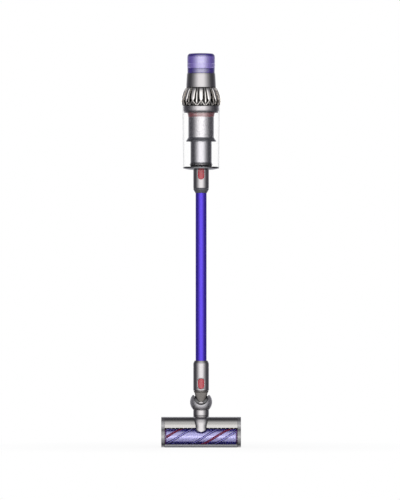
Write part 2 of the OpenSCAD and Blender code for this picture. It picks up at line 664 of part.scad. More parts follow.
// Filter and screen -------------------------------------------------------------------
screen_h = 9;                                    // bezel with its skirt round the column
module filter_column() color("#26262A") difference() {
    translate([0, 0, motor_top]) cylinder(r = column_r, h = top_z - motor_top - 3);
    translate([0, 0, motor_top - cut]) cylinder(r = column_r - column_wall, h = top_z - motor_top - 6 + cut);
    for (i = [0:5]) rotate([0, 0, i * 60]) translate([0, 0, motor_top + 8]) translate([0, -4, 0])
        cube([far / 4, 8, top_z - motor_top - column_solid]);
}
column_solid = 24;                               // height of the column left whole above and below its slots
bezel_lip_h = 2;
module screen_bezel() color("#1A1430") translate([0, 0, top_z - 3]) difference() {
    cylinder(r = screen_r, h = bezel_lip_h);
    translate([-screen_w / 2 - seat_gap, screen_y - seat_gap, 1]) cube([screen_w + 2 * seat_gap, screen_d + 2 * seat_gap, 3]);
    translate([0, button_y, -cut]) cylinder(r = button_r + slide_gap, h = 3 * cut + bezel_lip_h);
}
screen_w = 24;
screen_d = 20;
screen_y = -14;
button_r = 4;
button_y = 13;
button_travel = 1;
module screen_glass() color("#0E0E14") translate([-screen_w / 2, screen_y, top_z - 2]) cube([screen_w, screen_d, 1.2]);
module mode_button() color("#4A4A50") translate([0, button_y, top_z - 3 + button_travel + seat_gap])
    cylinder(r = button_r, h = bezel_lip_h);

filter_bore_r = screen_r + slide_gap;
ring_r = 43.4;
module filter_ring() color("#3D1D80") translate([0, 0, filter_ring_z]) difference() {
    cylinder(r = ring_r, h = filter_ring_h);
    translate([0, 0, 3]) cylinder(r = ring_r - 3, h = far);
    translate([0, 0, -cut]) cylinder(r = filter_bore_r, h = far);
    for (i = [0:deck_hole_n - 1]) rotate([0, 0, i * 360 / deck_hole_n])
        translate([(column_r + motor_top_r) / 2, 0, -cut]) cylinder(r = deck_hole_r, h = far);
}

filter_wall = 2.4;
cap_h = 10;
cap_round = 8;
pleat_in_r = 27;
pleat_out_r = 38;
pleat_low = 2;
exhaust_r = 1.1;
exhaust_n = 60;
module filter_unit() color("#8E7CC8") translate([0, 0, filter_z]) difference() {
    rotate_extrude() polygon(concat([[filter_bore_r, 0], [filter_r, 0], [filter_r, filter_h - cap_h]],
        [for (i = [0:6]) [ring_r - cap_round + cap_round * cos(i * 15), filter_h - cap_round + cap_round * sin(i * 15)]],
        [[filter_bore_r + 2, filter_h], [filter_bore_r, filter_h - 1]]));
    translate([0, 0, pleat_low]) linear_extrude(filter_h - cap_h - 2 * pleat_low) difference() {
        circle(r = filter_r - filter_wall);
        polygon([for (i = [0:2 * pleat_n - 1]) let (a = i * 180 / pleat_n, r = i % 2 == 0 ? pleat_out_r : pleat_in_r + 3)
            [r * cos(a), r * sin(a)]]);
    }
    translate([0, 0, -cut]) ring(pleat_in_r, filter_bore_r + 1.5, filter_h - cap_h);
}

// Grip and battery ---------------------------------------------------------------------
grip_y = motor_top_r + 0.5;
grip_rise = 22;                                  // middle of the grip above the foot of the motor
grip_z = motor_z + grip_rise;
grip_round = 12;
dock_w = 48;
dock_h = 56;
dock_t = 10;
dock_y = grip_y + grip_len * cos(grip_angle) - 2;
battery_y = dock_y + dock_t + slide_gap;
battery_mid_z = grip_z - grip_len * sin(grip_angle) - 22;  // middle of the battery
battery_z = battery_mid_z - battery_h / 2;
tenon_w = 28;
tenon_h = 20;
tenon_len = 11;
tenon_drop = 36;
tenon_z = battery_z + battery_h - tenon_drop;
spine_w = 20;
spine_t = 5;
spine_y = cyclone_low_r + cyclone_r + 1.3;
spine_reach = 50;                                // length of the spine below the rim of the bin
spine_low_z = bin_top - spine_reach;

module rounded(w, d, r) union() {
    square([w - 2 * r, d], center = true);
    square([w, d - 2 * r], center = true);
    for (x = [-1, 1], y = [-1, 1]) translate([x * (w / 2 - r), y * (d / 2 - r)]) circle(r = r);
}

module on_grip() translate([0, grip_y, grip_z]) rotate([-grip_angle, 0, 0]) children();

trigger_y = 30;                                  // near end of the trigger, along the grip
trigger_len = 26;
trigger_top = -8;
trigger_depth = 15;
trigger_scoop_r = 29;                            // hollow for the finger
trigger_scoop_drop = 26;
trigger_pin_r = 2;
trigger_pin_y = trigger_y + 3;
trigger_pin_z = trigger_top - 4;
trigger_angle = 9;
module grip() color("#8E8E94") difference() {
    union() {
        on_grip() translate([0, -12, 0]) rotate([-90, 0, 0]) linear_extrude(grip_len + 12) rounded(grip_w, grip_d, grip_round);
        translate([0, dock_y, tenon_z - 2]) rotate([-90, 0, 0]) linear_extrude(dock_t) rounded(dock_w, dock_h, grip_round);
        translate([-tenon_w / 2, dock_y, tenon_z - tenon_h / 2]) cube([tenon_w, dock_t + tenon_len, tenon_h]);
        translate([-spine_w / 2, spine_y, spine_low_z]) cube([spine_w, spine_t, grip_z - spine_low_z]);
    }
    translate([0, 0, motor_z]) cylinder(r1 = motor_low_r + seat_gap, r2 = motor_top_r + seat_gap, h = motor_h);
    translate([0, 0, cyclone_z - cut]) cylinder(r = spine_y, h = cyclone_h + cut);
    translate([0, 0, motor_top]) cylinder(r = ring_r + 3, h = far);
    on_grip() {
        translate([-trigger_w / 2 - slide_gap, trigger_y - 2.5, trigger_top - far])
            cube([trigger_w + 2 * slide_gap, trigger_len + 6, far + 7]);
        translate([-grip_w / 2 + 3.5, trigger_pin_y, trigger_pin_z]) rotate([0, 90, 0])
            cylinder(r = trigger_pin_r + pin_fit, h = grip_w - 7);
    }
}

module trigger() color("#B3202F") on_grip() difference() {
    union() {
        translate([-trigger_w / 2, trigger_y + 3, trigger_top - trigger_depth])
            cube([trigger_w, trigger_len - 3, trigger_depth]);
        translate([-trigger_w / 2, trigger_pin_y, trigger_pin_z]) rotate([0, 90, 0]) cylinder(r = 4, h = trigger_w);
    }
    translate([-trigger_w, trigger_pin_y, trigger_pin_z]) rotate([0, 90, 0])
        cylinder(r = trigger_pin_r + pin_fit, h = 2 * trigger_w);
    translate([-trigger_w, trigger_y + trigger_len / 2 + 3, trigger_top - trigger_depth - trigger_scoop_drop])
        rotate([0, 90, 0]) cylinder(r = trigger_scoop_r, h = 2 * trigger_w);
}

module trigger_pin() color("#9A9AA0") on_grip() translate([-grip_w / 2 + 4, trigger_pin_y, trigger_pin_z])
    rotate([0, 90, 0]) cylinder(r = trigger_pin_r, h = grip_w - 8);

lever_travel = 15;
lever_h = 20;
module bin_lever() color("#B3202F") translate([0, spine_y + spine_t + slide_gap, spine_low_z + lever_travel + 3]) union() {
    translate([-spine_w / 2, 0, 0]) cube([spine_w, 4, lever_h]);
    translate([-spine_w / 2, 0, 0]) cube([spine_w, 9, 5]);
}

case_wall = 2;
lid_h = 4;
cell_gap = 0.4;
catch_hole_w = 16;
catch_hole_h = 11;
module battery_case() color("#707076") difference() {
    translate([0, battery_y, battery_z]) linear_extrude(battery_h) translate([0, battery_d / 2])
        rounded(battery_w, battery_d, 8);
    translate([0, battery_y, battery_z + case_wall]) linear_extrude(battery_h - case_wall - lid_h)
        translate([0, battery_d / 2]) rounded(battery_w - 2 * case_wall, battery_d - 2 * case_wall, 6);
    translate([-tenon_w / 2 - slide_gap, battery_y - cut, tenon_z - tenon_h / 2 - slide_gap])
        cube([tenon_w + 2 * slide_gap, tenon_len + cut + slide_gap, tenon_h + 2 * slide_gap]);
    translate([-catch_hole_w / 2 - slide_gap, battery_y - cut, battery_catch_z - slide_gap])
        cube([catch_hole_w + 2 * slide_gap, case_wall + 2 * cut, catch_hole_h + 2 * slide_gap]);
    translate([0, socket_y, battery_z - cut]) cylinder(r = socket_r + seat_gap, h = case_wall + 2 * cut);
}
cell_y = battery_y + battery_d - case_wall - cell_r - cell_gap;
row_pitch = 2 * cell_r + cell_gap;
cell_z = battery_z + case_wall + 0.2;
module battery_cells() color("#2F7A4A") union() {
    for (x = [-1, 0, 1], row = [0, 1]) if (row == 0 || x != 0)
        translate([x * row_pitch, cell_y - row * row_pitch, cell_z]) cylinder(r = cell_r, h = cell_len);
    translate([-cell_len / 2, cell_y - 2, cell_z + cell_len + cell_r + cell_gap]) rotate([0, 90, 0])
        cylinder(r = cell_r, h = cell_len);
}
battery_catch_rise = 30;
battery_catch_z = battery_z + battery_catch_rise;
module battery_catch() color("#B3202F") translate([-catch_hole_w / 2, battery_y - 3.5, battery_catch_z])
    cube([catch_hole_w, 3.5 + case_wall + 0.6, catch_hole_h]);
socket_r = 5.5;
socket_h = 11;
socket_y = battery_y + 12;
module charge_socket() color("#26262A") translate([0, socket_y, battery_z]) difference() {
    cylinder(r = socket_r, h = socket_h);
    translate([0, 0, -cut]) cylinder(r = charge_r, h = socket_h - 2 + cut);
}

wand_tube();
wand_shoulder();
lower_connector();
wand_cable_channel();
trigger_pin();
lower_catch();
upper_catch();
neck();
ball_yoke();
pivot_pins();
swivel_collar();
duct_nose();
head_housing();
end_cap_left();
end_cap_right();
roller_window();
front_lip();
sole_plate();
head_board();
brush_motor();
roller_stub();
roller_bearing();
roller_core();
roller_velvet();
rear_wheels();
wheel_pins();
lid();
lid_seal();
lid_hinge_pin();
inlet_collar();
clear_bin();
bin_runner();
dust_tube_seal();
dust_tube();
inlet_duct();
shroud_skirt();
shroud_mesh();
shroud_seal();
cyclone_collar();
cyclones();
motor_housing();
motor_mount();
motor_can();
motor_stator();
motor_bearings();
impeller();
control_board();
filter_column();
screen_bezel();
screen_glass();
mode_button();
filter_ring();
filter_unit();
grip();
bin_lever();
trigger();
battery_case();
battery_cells();
battery_catch();
charge_socket();
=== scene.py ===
"""Cordless stick vacuum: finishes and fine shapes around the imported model, in metres."""
import json
from math import asin, copysign, cos, hypot, pi, radians, sin, sqrt

import bmesh
import bpy
from mathutils import Matrix, Vector

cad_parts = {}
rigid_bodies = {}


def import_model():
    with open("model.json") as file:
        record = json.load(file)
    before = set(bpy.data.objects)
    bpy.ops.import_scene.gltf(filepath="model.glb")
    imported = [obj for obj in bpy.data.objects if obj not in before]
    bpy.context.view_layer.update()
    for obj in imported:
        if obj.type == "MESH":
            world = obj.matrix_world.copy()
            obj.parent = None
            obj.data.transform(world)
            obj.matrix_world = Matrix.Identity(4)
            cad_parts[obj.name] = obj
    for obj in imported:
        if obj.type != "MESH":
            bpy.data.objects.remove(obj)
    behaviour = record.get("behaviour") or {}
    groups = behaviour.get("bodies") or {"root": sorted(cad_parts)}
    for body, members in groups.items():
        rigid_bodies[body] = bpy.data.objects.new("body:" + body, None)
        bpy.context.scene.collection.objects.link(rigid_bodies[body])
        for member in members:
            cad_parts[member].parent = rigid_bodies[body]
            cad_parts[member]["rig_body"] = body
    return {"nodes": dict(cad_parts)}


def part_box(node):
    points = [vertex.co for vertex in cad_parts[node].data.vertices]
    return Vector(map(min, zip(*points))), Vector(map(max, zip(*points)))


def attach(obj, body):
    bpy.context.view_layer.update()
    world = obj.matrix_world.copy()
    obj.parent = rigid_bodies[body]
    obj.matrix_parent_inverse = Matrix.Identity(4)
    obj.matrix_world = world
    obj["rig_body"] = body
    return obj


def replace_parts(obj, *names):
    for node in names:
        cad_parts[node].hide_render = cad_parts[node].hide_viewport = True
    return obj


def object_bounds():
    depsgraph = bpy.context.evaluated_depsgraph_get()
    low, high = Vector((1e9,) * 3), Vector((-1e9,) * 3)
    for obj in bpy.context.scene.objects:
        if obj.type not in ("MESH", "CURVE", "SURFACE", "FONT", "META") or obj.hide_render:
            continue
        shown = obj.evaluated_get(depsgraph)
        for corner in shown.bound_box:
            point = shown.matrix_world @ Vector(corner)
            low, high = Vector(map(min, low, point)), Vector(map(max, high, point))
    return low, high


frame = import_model()
cad_low, cad_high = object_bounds()
MM = 0.001
TURN = 2 * pi


# ---- Studio ----
# A white sweep lit by one wide lamp in front and two behind, with black flags at both
# sides: the flags draw the dark bands that make turned silver parts read as round.
def colour(code):
    """Linear RGBA of an sRGB hex code."""
    parts = [int(code[i:i + 2], 16) / 255 for i in (1, 3, 5)]
    return [c / 12.92 if c <= 0.04045 else ((c + 0.055) / 1.055) ** 2.4 for c in parts] + [1.0]


def add(tree, kind, inputs=(), stops=(), **settings):
    """Adds a node, a shader node unless its kind says more, with its properties and ramp stops. Its
    inputs, named or in order, are values, sockets or nodes, which give their first outputs."""
    node = tree.nodes.new(kind if "Node" in kind else "ShaderNode" + kind)
    for name, value in settings.items():
        setattr(node, name, value)
    if stops:
        points = node.color_ramp.elements
        while len(points) < len(stops):
            points.new(1.0)
        for point, (position, code) in zip(points, stops):
            point.position = position
            point.color = colour(code)
    for key, value in inputs.items() if isinstance(inputs, dict) else enumerate(inputs):
        if isinstance(value, bpy.types.Node):
            value = value.outputs[0]
        if isinstance(value, bpy.types.NodeSocket):
            tree.links.new(value, node.inputs[key])
        else:
            node.inputs[key].default_value = value
    return node


def cleared(data):
    """The emptied node tree of a material or world."""
    data.use_nodes = True
    data.node_tree.nodes.clear()
    return data.node_tree


def blank(name):
    """A new material and its empty tree."""
    material = bpy.data.materials.new(name)
    return material, cleared(material)


def shown(name, data):
    """A new object in the scene."""
    thing = bpy.data.objects.new(name, data)
    bpy.context.collection.objects.link(thing)
    return thing


scene = bpy.context.scene
scene.view_settings.view_transform = "Standard"
scene.world = bpy.data.worlds.new("sweep")
tree = cleared(scene.world)
where = add(tree, "TexCoord")
axes = add(tree, "SeparateXYZ", (where.outputs["Generated"],)).outputs
depth = add(tree, "MapRange", (axes["Y"], -1.0, 1.0))
flags = add(tree, "ValToRGB", (depth,), stops=(
    (0.0, "#FFFFFF"), (0.14, "#F4F4F6"), (0.30, "#A4A4A8"), (0.44, "#6A6A70"), (0.60, "#58585E"),
    (0.80, "#6E6E74"), (0.93, "#AAAAB0"), (1.0, "#C8C8CE")))
seen = add(tree, "LightPath").outputs
# In gloss only: a tall softbox in front, a little brighter at eye level than above it
side = add(tree, "Math", (axes["X"],), operation="ABSOLUTE")
level = add(tree, "Math", (axes["Z"],), operation="ABSOLUTE")
across, eye_level, above, below = (
    add(tree, "MapRange", value_and_ends, interpolation_type="SMOOTHSTEP") for value_and_ends in (
        (side, 0.25, 0.85, 1.0, 0.0), (level, 0.06, 0.32, 1.0, 0.0), (axes["Z"], 0.7, 0.95, 0.55, 0.0),
        (axes["Z"], -0.65, -0.2, 0.0, 1.0)))
ahead = add(tree, "Math", (axes["Y"], 0.0), operation="LESS_THAN")
tall = add(tree, "Math", (above, below, eye_level), operation="MULTIPLY_ADD")
strip = add(tree, "Math", (across, tall), operation="MULTIPLY")
front_half = add(tree, "Math", (strip, ahead), operation="MULTIPLY")
power = add(tree, "Math", (front_half, seen["Is Glossy Ray"], 1.2), operation="MULTIPLY_ADD")
room = add(tree, "Background", (flags, power))
white = add(tree, "Background", ((1, 1, 1, 1), 1.0))
both = add(tree, "MixShader", (seen["Is Camera Ray"], room, white))
add(tree, "OutputWorld", (both,))

middle = Vector((0, 0, (cad_low[2] + cad_high[2]) / 2))
for name, spot, size, watts in (("front softbox", (0, -3.2, 1.5), (0.9, 2.4), 22),
                                ("left softbox", (-2.6, 1.6, 1.6), (1.2, 2.2), 12),
                                ("right softbox", (2.6, 1.6, 1.6), (1.2, 2.2), 12),
                                ("top softbox", (0, -0.4, 3.4), (2.0, 2.0), 14)):
    lamp = bpy.data.lights.new(name, "AREA")
    lamp.shape = "RECTANGLE"
    lamp.size, lamp.size_y = size
    lamp.energy = watts
    stand = shown(name, lamp)
    stand.location = spot
    stand.rotation_euler = (middle - Vector(spot)).to_track_quat("-Z", "Y").to_euler()
    stand.visible_glossy = False

# The sweep glows to the eye, keeps a faint shadow, and can't be seen in gloss or from below
reach = 30.0
sheet = bpy.data.meshes.new("floor")
sheet.from_pydata([(-reach, -reach, 0), (reach, -reach, 0), (reach, reach, 0), (-reach, reach, 0)], [], [(0, 1, 2, 3)])
paint, tree = blank("white sweep")
matt = add(tree, "BsdfDiffuse", (colour("#F4F4F4"),))
glow = add(tree, "Emission", ((1, 1, 1, 1), 1.0))
seen = add(tree, "LightPath").outputs
where = add(tree, "TexCoord")
away = add(tree, "VectorMath", (where.outputs["Object"],), operation="LENGTH")
fade = add(tree, "MapRange", (away.outputs["Value"], 0.15, 0.9, 0.9, 1.0))
share = add(tree, "Math", (seen["Is Camera Ray"], fade), operation="MULTIPLY")
both = add(tree, "MixShader", (share, matt, glow))
gone = add(tree, "BsdfTransparent")
under = add(tree, "NewGeometry").outputs["Backfacing"]
hidden = add(tree, "Math", (seen["Is Glossy Ray"], under), operation="MAXIMUM")
kept = add(tree, "MixShader", (hidden, both, gone))
add(tree, "OutputMaterial", (kept,))
sheet.materials.append(paint)
shown("floor", sheet)

lens = bpy.data.cameras.new("camera")
lens.sensor_width = 36
lens.lens = 609
scene.camera = shown("camera", lens)
scene.camera.location = (-3.5 * MM, -27.0, 629 * MM)
scene.camera.rotation_euler = (radians(90), 0, 0)


# ---- Wand ----
# Drawn aluminium tube, dyed purple by anodising. It carries the cleaner, and a moulded
# channel inside takes the current down to the floor head.
def finished_mesh(name, shape, angle=32):
    """Turns a bmesh into a mesh with outward faces, smooth but for its sharp edges."""
    bmesh.ops.remove_doubles(shape, verts=shape.verts, dist=1e-6)
    bmesh.ops.recalc_face_normals(shape, faces=shape.faces)
    mesh = bpy.data.meshes.new(name)
    shape.to_mesh(mesh)
    shape.free()
    mesh.shade_smooth()
    mesh.set_sharp_from_angle(angle=radians(angle))
    return mesh


def skinned(name, rings, loop=False, angle=32, broken=0.0, steps=2, edges=lambda edge: True):
    """A closed mesh over rings of points in mm, joined in a loop or capped; its edges can be broken."""
    shape = bmesh.new()
    rows = []
    for ring in rings:
        spots = {tuple(point): shape.verts.new([v * MM for v in point]) for point in ring}
        rows.append([spots[tuple(point)] for point in ring])
    count = len(rows[0])
    for lower, upper in zip(rows, rows[1:] + rows[:1] if loop else rows[1:]):
        for k in range(count):
            n = (k + 1) % count
            corners = list(dict.fromkeys((lower[k], lower[n], upper[n], upper[k])))
            if len(corners) > 2:
                shape.faces.new(corners)
    if not loop:
        for row in (rows[0], rows[-1]):
            shape.faces.new(dict.fromkeys(row))
    if broken:
        bmesh.ops.recalc_face_normals(shape, faces=shape.faces)
        bmesh.ops.bevel(shape, geom=[e for e in shape.edges if edges(e)], offset=broken * MM, segments=steps,
                        affect="EDGES")
    return finished_mesh(name, shape, angle)


def arc(count, start=0.0, end=TURN):
    """Angles at equal steps, of which a full turn leaves out the last."""
    steps = count if end - start == TURN else count - 1
    return [start + (end - start) * k / steps for k in range(count)]


def rounded_outline(points, steps=5):
    """Points of an outline in mm, where (r, z, fillet) rounds the corner at (r, z)."""
    out = []
    for i, point in enumerate(points):
        here = Vector(point[:2])
        if len(point) == 2:
            out.append(here)
            continue
        before = Vector(points[i - 1][:2]) - here
        after = Vector(points[(i + 1) % len(points)][:2]) - here
        reach = min(point[2], before.length * 0.49, after.length * 0.49)
        start = here + before.normalized() * reach
        end = here + after.normalized() * reach
        for k in range(steps + 1):
            t = k / steps
            out.append(start * (1 - t) ** 2 + here * 2 * t * (1 - t) + end * t * t)
    return out


def turned_mesh(name, points, segments=144, centre=(0, 0), level=False):
    """A closed outline of (r, z) in mm turned about the vertical through centre, or if level
    one of (r, x) turned about the line along X through centre, given as (y, z)."""
    u, v = centre
    rings = [[(z, u + r * sin(a), v - r * cos(a)) if level else (u + r * cos(a), v + r * sin(a), z)
              for a in arc(segments)] for r, z in rounded_outline(points)]
    return skinned(name, rings, loop=True)


def place(name, mesh, material, body, *nodes):
    """Makes a piece of a mesh, gives it its material and body, and hides the nodes it stands for."""
    piece = shown(name, mesh)
    mesh.materials.clear()
    mesh.materials.append(material)
    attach(piece, body)
    if nodes:
        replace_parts(piece, *nodes)
    return piece


def turned(node, material, points, segments=144, centre=(0, 0), foot=None):
    """A smooth turned piece in a node's place, with its heights above the node's foot or a given one."""
    foot = box(node)[0][2] if foot is None else foot
    mesh = turned_mesh(node, [(r, foot + z, *fillet) for r, z, *fillet in points], segments, centre)
    return place(node + "_skin", mesh, material, frame["nodes"][node]["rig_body"], node)


def box(node):
    """A node's lowest and highest corners in mm."""
    low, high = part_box(node)
    return [v / MM for v in low], [v / MM for v in high]


def round_size(node):
    """Radius and height in mm of a node that stands on the cleaner's axis."""
    low, high = box(node)
    return high[0], high[2] - low[2]


def surface(tree, **sockets):
    """A principled shader, with its sockets named with underscores, on the tree's output."""
    shader = add(tree, "BsdfPrincipled", {key.replace("_", " "): v for key, v in sockets.items()})
    add(tree, "OutputMaterial", (shader,))


def finish(name, dark, light, grain_mm, depth, rough=None, stretch=(1, 1, 1), detail=3.0, **sockets):
    """A material with a fine grain that lifts its surface and moves its colour and, if given, roughness."""
    material, tree = blank(name)
    where = add(tree, "TexCoord")
    fit = add(tree, "Mapping", {"Vector": where.outputs["Object"], "Scale": stretch})
    noise = add(tree, "TexNoise", {"Vector": fit, "Scale": 1 / (grain_mm * MM), "Detail": detail})
    sockets["Normal"] = add(tree, "Bump", {"Height": noise, "Strength": depth, "Distance": 0.1 * MM})
    sockets["Base_Color"] = add(tree, "ValToRGB", (noise,), stops=((0.3, dark), (0.7, light)))
    if rough:
        sockets["Roughness"] = add(tree, "MapRange", (noise, 0.3, 0.7, *rough))
    surface(tree, **sockets)
    return material


# Drawn tube: lines along its length under a dyed oxide layer, which keeps the metal's gloss
anodised = finish("anodised aluminium", "#402AAE", "#4B35BA", 0.9, 0.12, (0.21, 0.27), stretch=(1, 1, 0.01),
                  Metallic=0.6)
wall = 1.5
wand_r, h = round_size("wand_tube")
turned("wand_tube", anodised, [
    (wand_r, 0, 0.4), (wand_r, h, 0.4), (wand_r - wall, h, 0.4), (wand_r - wall, 0, 0.4)])


# ---- Wand ends ----
# Moulded ABS: a dark shoulder under the inlet collar, and below it a silver connector,
# lacquered over metal flake, with a pocket for the red catch that holds the floor head.
def lacquer(name, dark, light, rough, depth=0.04, coat_rough=0.06):
    """Metal-flake lacquer under clear coat: bright where it faces a lamp, nearly black at a flag."""
    return finish(name + " lacquer on ABS", dark, light, 0.5, depth, rough, Metallic=1.0, Coat_Weight=0.3,
                  Coat_Roughness=coat_rough)


def moulded_abs(name, dark, light, rough=0.42, **sockets):
    """ABS from a spark-eroded mould: an even satin with a fine sand-like grain."""
    return finish(name, dark, light, 0.6, 0.22, (rough - 0.05, rough + 0.06), IOR=1.53, Specular_IOR_Level=0.8,
                  **sockets)


def faced(material, *nodes):
    """Gives CAD nodes that show as they are their material."""
    for node in nodes:
        for held in frame["nodes"][node].material_slots:
            held.material = material


def applied(piece):
    """Replaces a piece's mesh by what its modifiers make of it."""
    depsgraph = bpy.context.evaluated_depsgraph_get()
    depsgraph.update()
    mesh = bpy.data.meshes.new_from_object(piece.evaluated_get(depsgraph))
    piece.modifiers.clear()
    piece.data = mesh
    return piece


def prism(name, outline, y_from, y_to, **more):
    """An (x, z) outline in mm pushed along Y."""
    return skinned(name, [[(x, y, z) for x, z in outline] for y in (y_from, y_to)], **more)


def carve(piece, *cutter_meshes):
    """Cuts each mesh out of a piece and leaves a plain mesh."""
    cutters = [shown("cutter", mesh) for mesh in cutter_meshes]
    for cutter in cutters:
        cut = piece.modifiers.new("cut", "BOOLEAN")
        cut.object = cutter
        cut.solver = "EXACT"
    applied(piece)
    for cutter in cutters:
        bpy.data.objects.remove(cutter)
    piece.data.shade_smooth()
    piece.data.set_sharp_from_angle(angle=radians(32))


def catch_outline(node, grow, corner=0.0):
    """Outline of a catch in (x, z): rounded by a corner radius at the top, half round at the bottom."""
    low, high = box(node)
    half = (high[0] - low[0]) / 2
    spread = half + grow
    if corner:
        reach = corner + grow
        points = [(half - corner + reach * cos(a), high[2] - corner + reach * sin(a))
                  for a in arc(9, 0, pi / 2)]
    else:
        points = [(spread, high[2] + grow)]
    points += [(-x, z) for x, z in reversed(points)]
    return points + [(spread * cos(a), low[2] + half + spread * sin(a)) for a in arc(25, pi, TURN)]


CATCH_POCKET = -40, -18.4                            # from in front of a catch to the pocket's back
silver = lacquer("silver", "#908D8E", "#A09D9E", (0.17, 0.24))
dark_abs = moulded_abs("dark grey ABS", "#434348", "#515156")
grey_abs = moulded_abs("grey ABS", "#5E5E62", "#6E6E72", 0.36)
black_abs = moulded_abs("black ABS", "#1B1B1E", "#27272A", 0.2)

r, h = round_size("wand_shoulder")
turned("wand_shoulder", dark_abs, [
    (wand_r + 0.1, 0), (wand_r + 0.8, 0, 0.3), (r - 0.4, h - 3, 2.5), (r - 0.2, h, 0.5), (wand_r + 0.1, h)])
faced(dark_abs, "wand_cable_channel")

r, h = round_size("lower_connector")
bore = 20.3
seam = h - 22
connector = turned("lower_connector", silver, [
    (bore, 0), (r - 1.2, 0, 0.3), (r, 1.2, 0.3), (r, seam - 0.5), (r - 0.5, seam - 0.5), (r - 0.5, seam + 0.5),
    (r, seam + 0.5), (r, h - 8.5, 2.5), (21.6, h - 1.5, 1.5), (20.8, h, 0.6), (wand_r + 0.1, h),
    (wand_r + 0.1, 38), (15.5, 38), (15.5, 35), (bore, 35)])
carve(connector, prism("pocket", catch_outline("lower_catch", 0.45, 8.0), *CATCH_POCKET))


# ---- Catches ----
# Two push catches moulded in red ABS, polished, with a finger crease. One frees the
# floor head from the wand and the other frees the wand from the cleaner.
def button_mesh(name, outline, barrel, edge):
    """A push button proud of a round barrel: its face follows the barrel and its edges roll off."""
    lows, highs = min(z for x, z in outline), max(z for x, z in outline)
    half = max(x for x, z in outline)
    thick = 2.5
    rings = []
    for i in range(41):
        z = lows + (highs - lows) * (0.5 - 0.5 * cos(pi * i / 40))
        wide = max([abs(x0 + (x1 - x0) * (z - z0) / (z1 - z0))
                    for (x0, z0), (x1, z1) in zip(outline, outline[1:] + outline[:1])
                    if min(z0, z1) <= z <= max(z0, z1) and abs(z1 - z0) > 1e-6], default=0.2)
        front, back = [], []
        for a in arc(25, -pi / 2, pi / 2):
            x = wide * sin(a)
            inset = min(wide - abs(x), z - lows, highs - z)
            roll = 0.0 if inset >= edge else edge - sqrt(max(edge * edge - (edge - inset) ** 2, 0))
            y = -sqrt(barrel ** 2 - x * x) + 0.6 * (x / half) ** 2
            front.append((x, y + roll, z))
            back.append((x, y + thick, z))
        rings.append(front + back[::-1])
    return skinned(name, rings, angle=40)


def lip(name, points, thick, material, body):
    """A closed round bead of a given radius along points in mm, given as (x, y, z)."""
    path = [Vector(p) for p in points]
    rings = []
    for k, here in enumerate(path):
        along = (path[(k + 1) % len(path)] - path[k - 1]).normalized()
        out = Vector((here.x, here.y, 0)).normalized()
        out = (out - along * out.dot(along)).normalized()
        across = along.cross(out)
        rings.append([here + (out * cos(a) + across * sin(a)) * thick for a in arc(8)])
    place(name, skinned(name, rings, loop=True, angle=60), material, body)


# Polished red ABS: deep colour, a tight highlight and faint flow marks
red = finish("polished red ABS", "#A61228", "#B81C32", 3.0, 0.05, (0.18, 0.25), stretch=(1, 1, 0.4), IOR=1.53,
             Coat_Weight=0.3, Coat_Roughness=0.1)
face_r = 25.8                                        # radius of the catches' faces, 1 mm proud of the collars
for node, corner in (("lower_catch", 8.0), ("upper_catch", 2.0)):
    low, high = box(node)
    mesh = button_mesh(node, catch_outline(node, 0, corner), face_r, 1.3)
    catch = place(node + "_skin", mesh, red, frame["nodes"][node]["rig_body"], node)
    z = (low[2] + high[2]) / 2
    carve(catch, prism("crease", [(-7.5, z - 0.45), (7.5, z - 0.45), (7.5, z + 0.45), (-7.5, z + 0.45)], -40, -24.9))
rim_r = 25.0
rim = [(x, -sqrt(rim_r ** 2 - x * x), z) for x, z in catch_outline("lower_catch", 1.5, 8.0)]
lip("lower_catch_rim", rim, 1.1, silver, "wand")


# ---- Neck ----
# Glass-filled nylon neck that plugs into the wand. Its barrel tips between the cheeks of
# a ball-shaped yoke, and a silver collar under the ball lets the head steer.
def both_sides(name, points, centre, segments=48):
    """An outline of (r, x) turned about a line along X, at both sides of the cleaner as one mesh."""
    shape = bmesh.new()
    for side in (-1, 1):
        profile = [(r, side * x, *fillet) for r, x, *fillet in points]
        shape.from_mesh(turned_mesh(name, profile, segments, centre, level=True))
    return finished_mesh(name, shape)


# Glass-filled nylon: warm grey and half glossy, with short fibres that run down the piece
nylon = finish("glass-filled nylon", "#5A5653", "#6A6662", 0.8, 0.25, (0.32, 0.42), stretch=(1, 1, 0.25), Metallic=0.4)
# The silver lacquer laid on a textured mould: the same colour with a broader sheen
satin = finish("satin silver lacquer", "#BEBCBE", "#D0CED0", 0.5, 0.1, (0.3, 0.38), Metallic=0.9)

pivot = (0, 144.0)                                   # (y, z) of the neck's pivot
pivot_z = pivot[1]
duct_r = 14.5
top = box("neck")[1][2]
flange = top - 34.0
turned("neck", nylon, [
    (14.6, pivot_z + 3), (16.0, pivot_z + 9), (21.2, flange - 5.6, 0.6), (23.3, flange - 4.6, 0.5),
    (23.3, flange - 0.6, 0.3), (20.6, flange), (20.0, flange + 0.4), (20.0, top - 0.8, 0.4), (19.4, top), (14.6, top)],
    120, foot=0)
barrel = turned_mesh("neck_barrel", [
    (4.4, -21.9), (18.6, -21.9), (19.4, -21.0, 0.4), (19.4, 21.0, 0.4), (18.6, 21.9), (4.4, 21.9)],
    96, pivot, level=True)
carve(place("neck_barrel", barrel, black_abs, "neck"), turned_mesh("air way", [
    (0, pivot_z - 30), (duct_r, pivot_z - 30), (duct_r, pivot_z + 30), (0, pivot_z + 30)], 64))

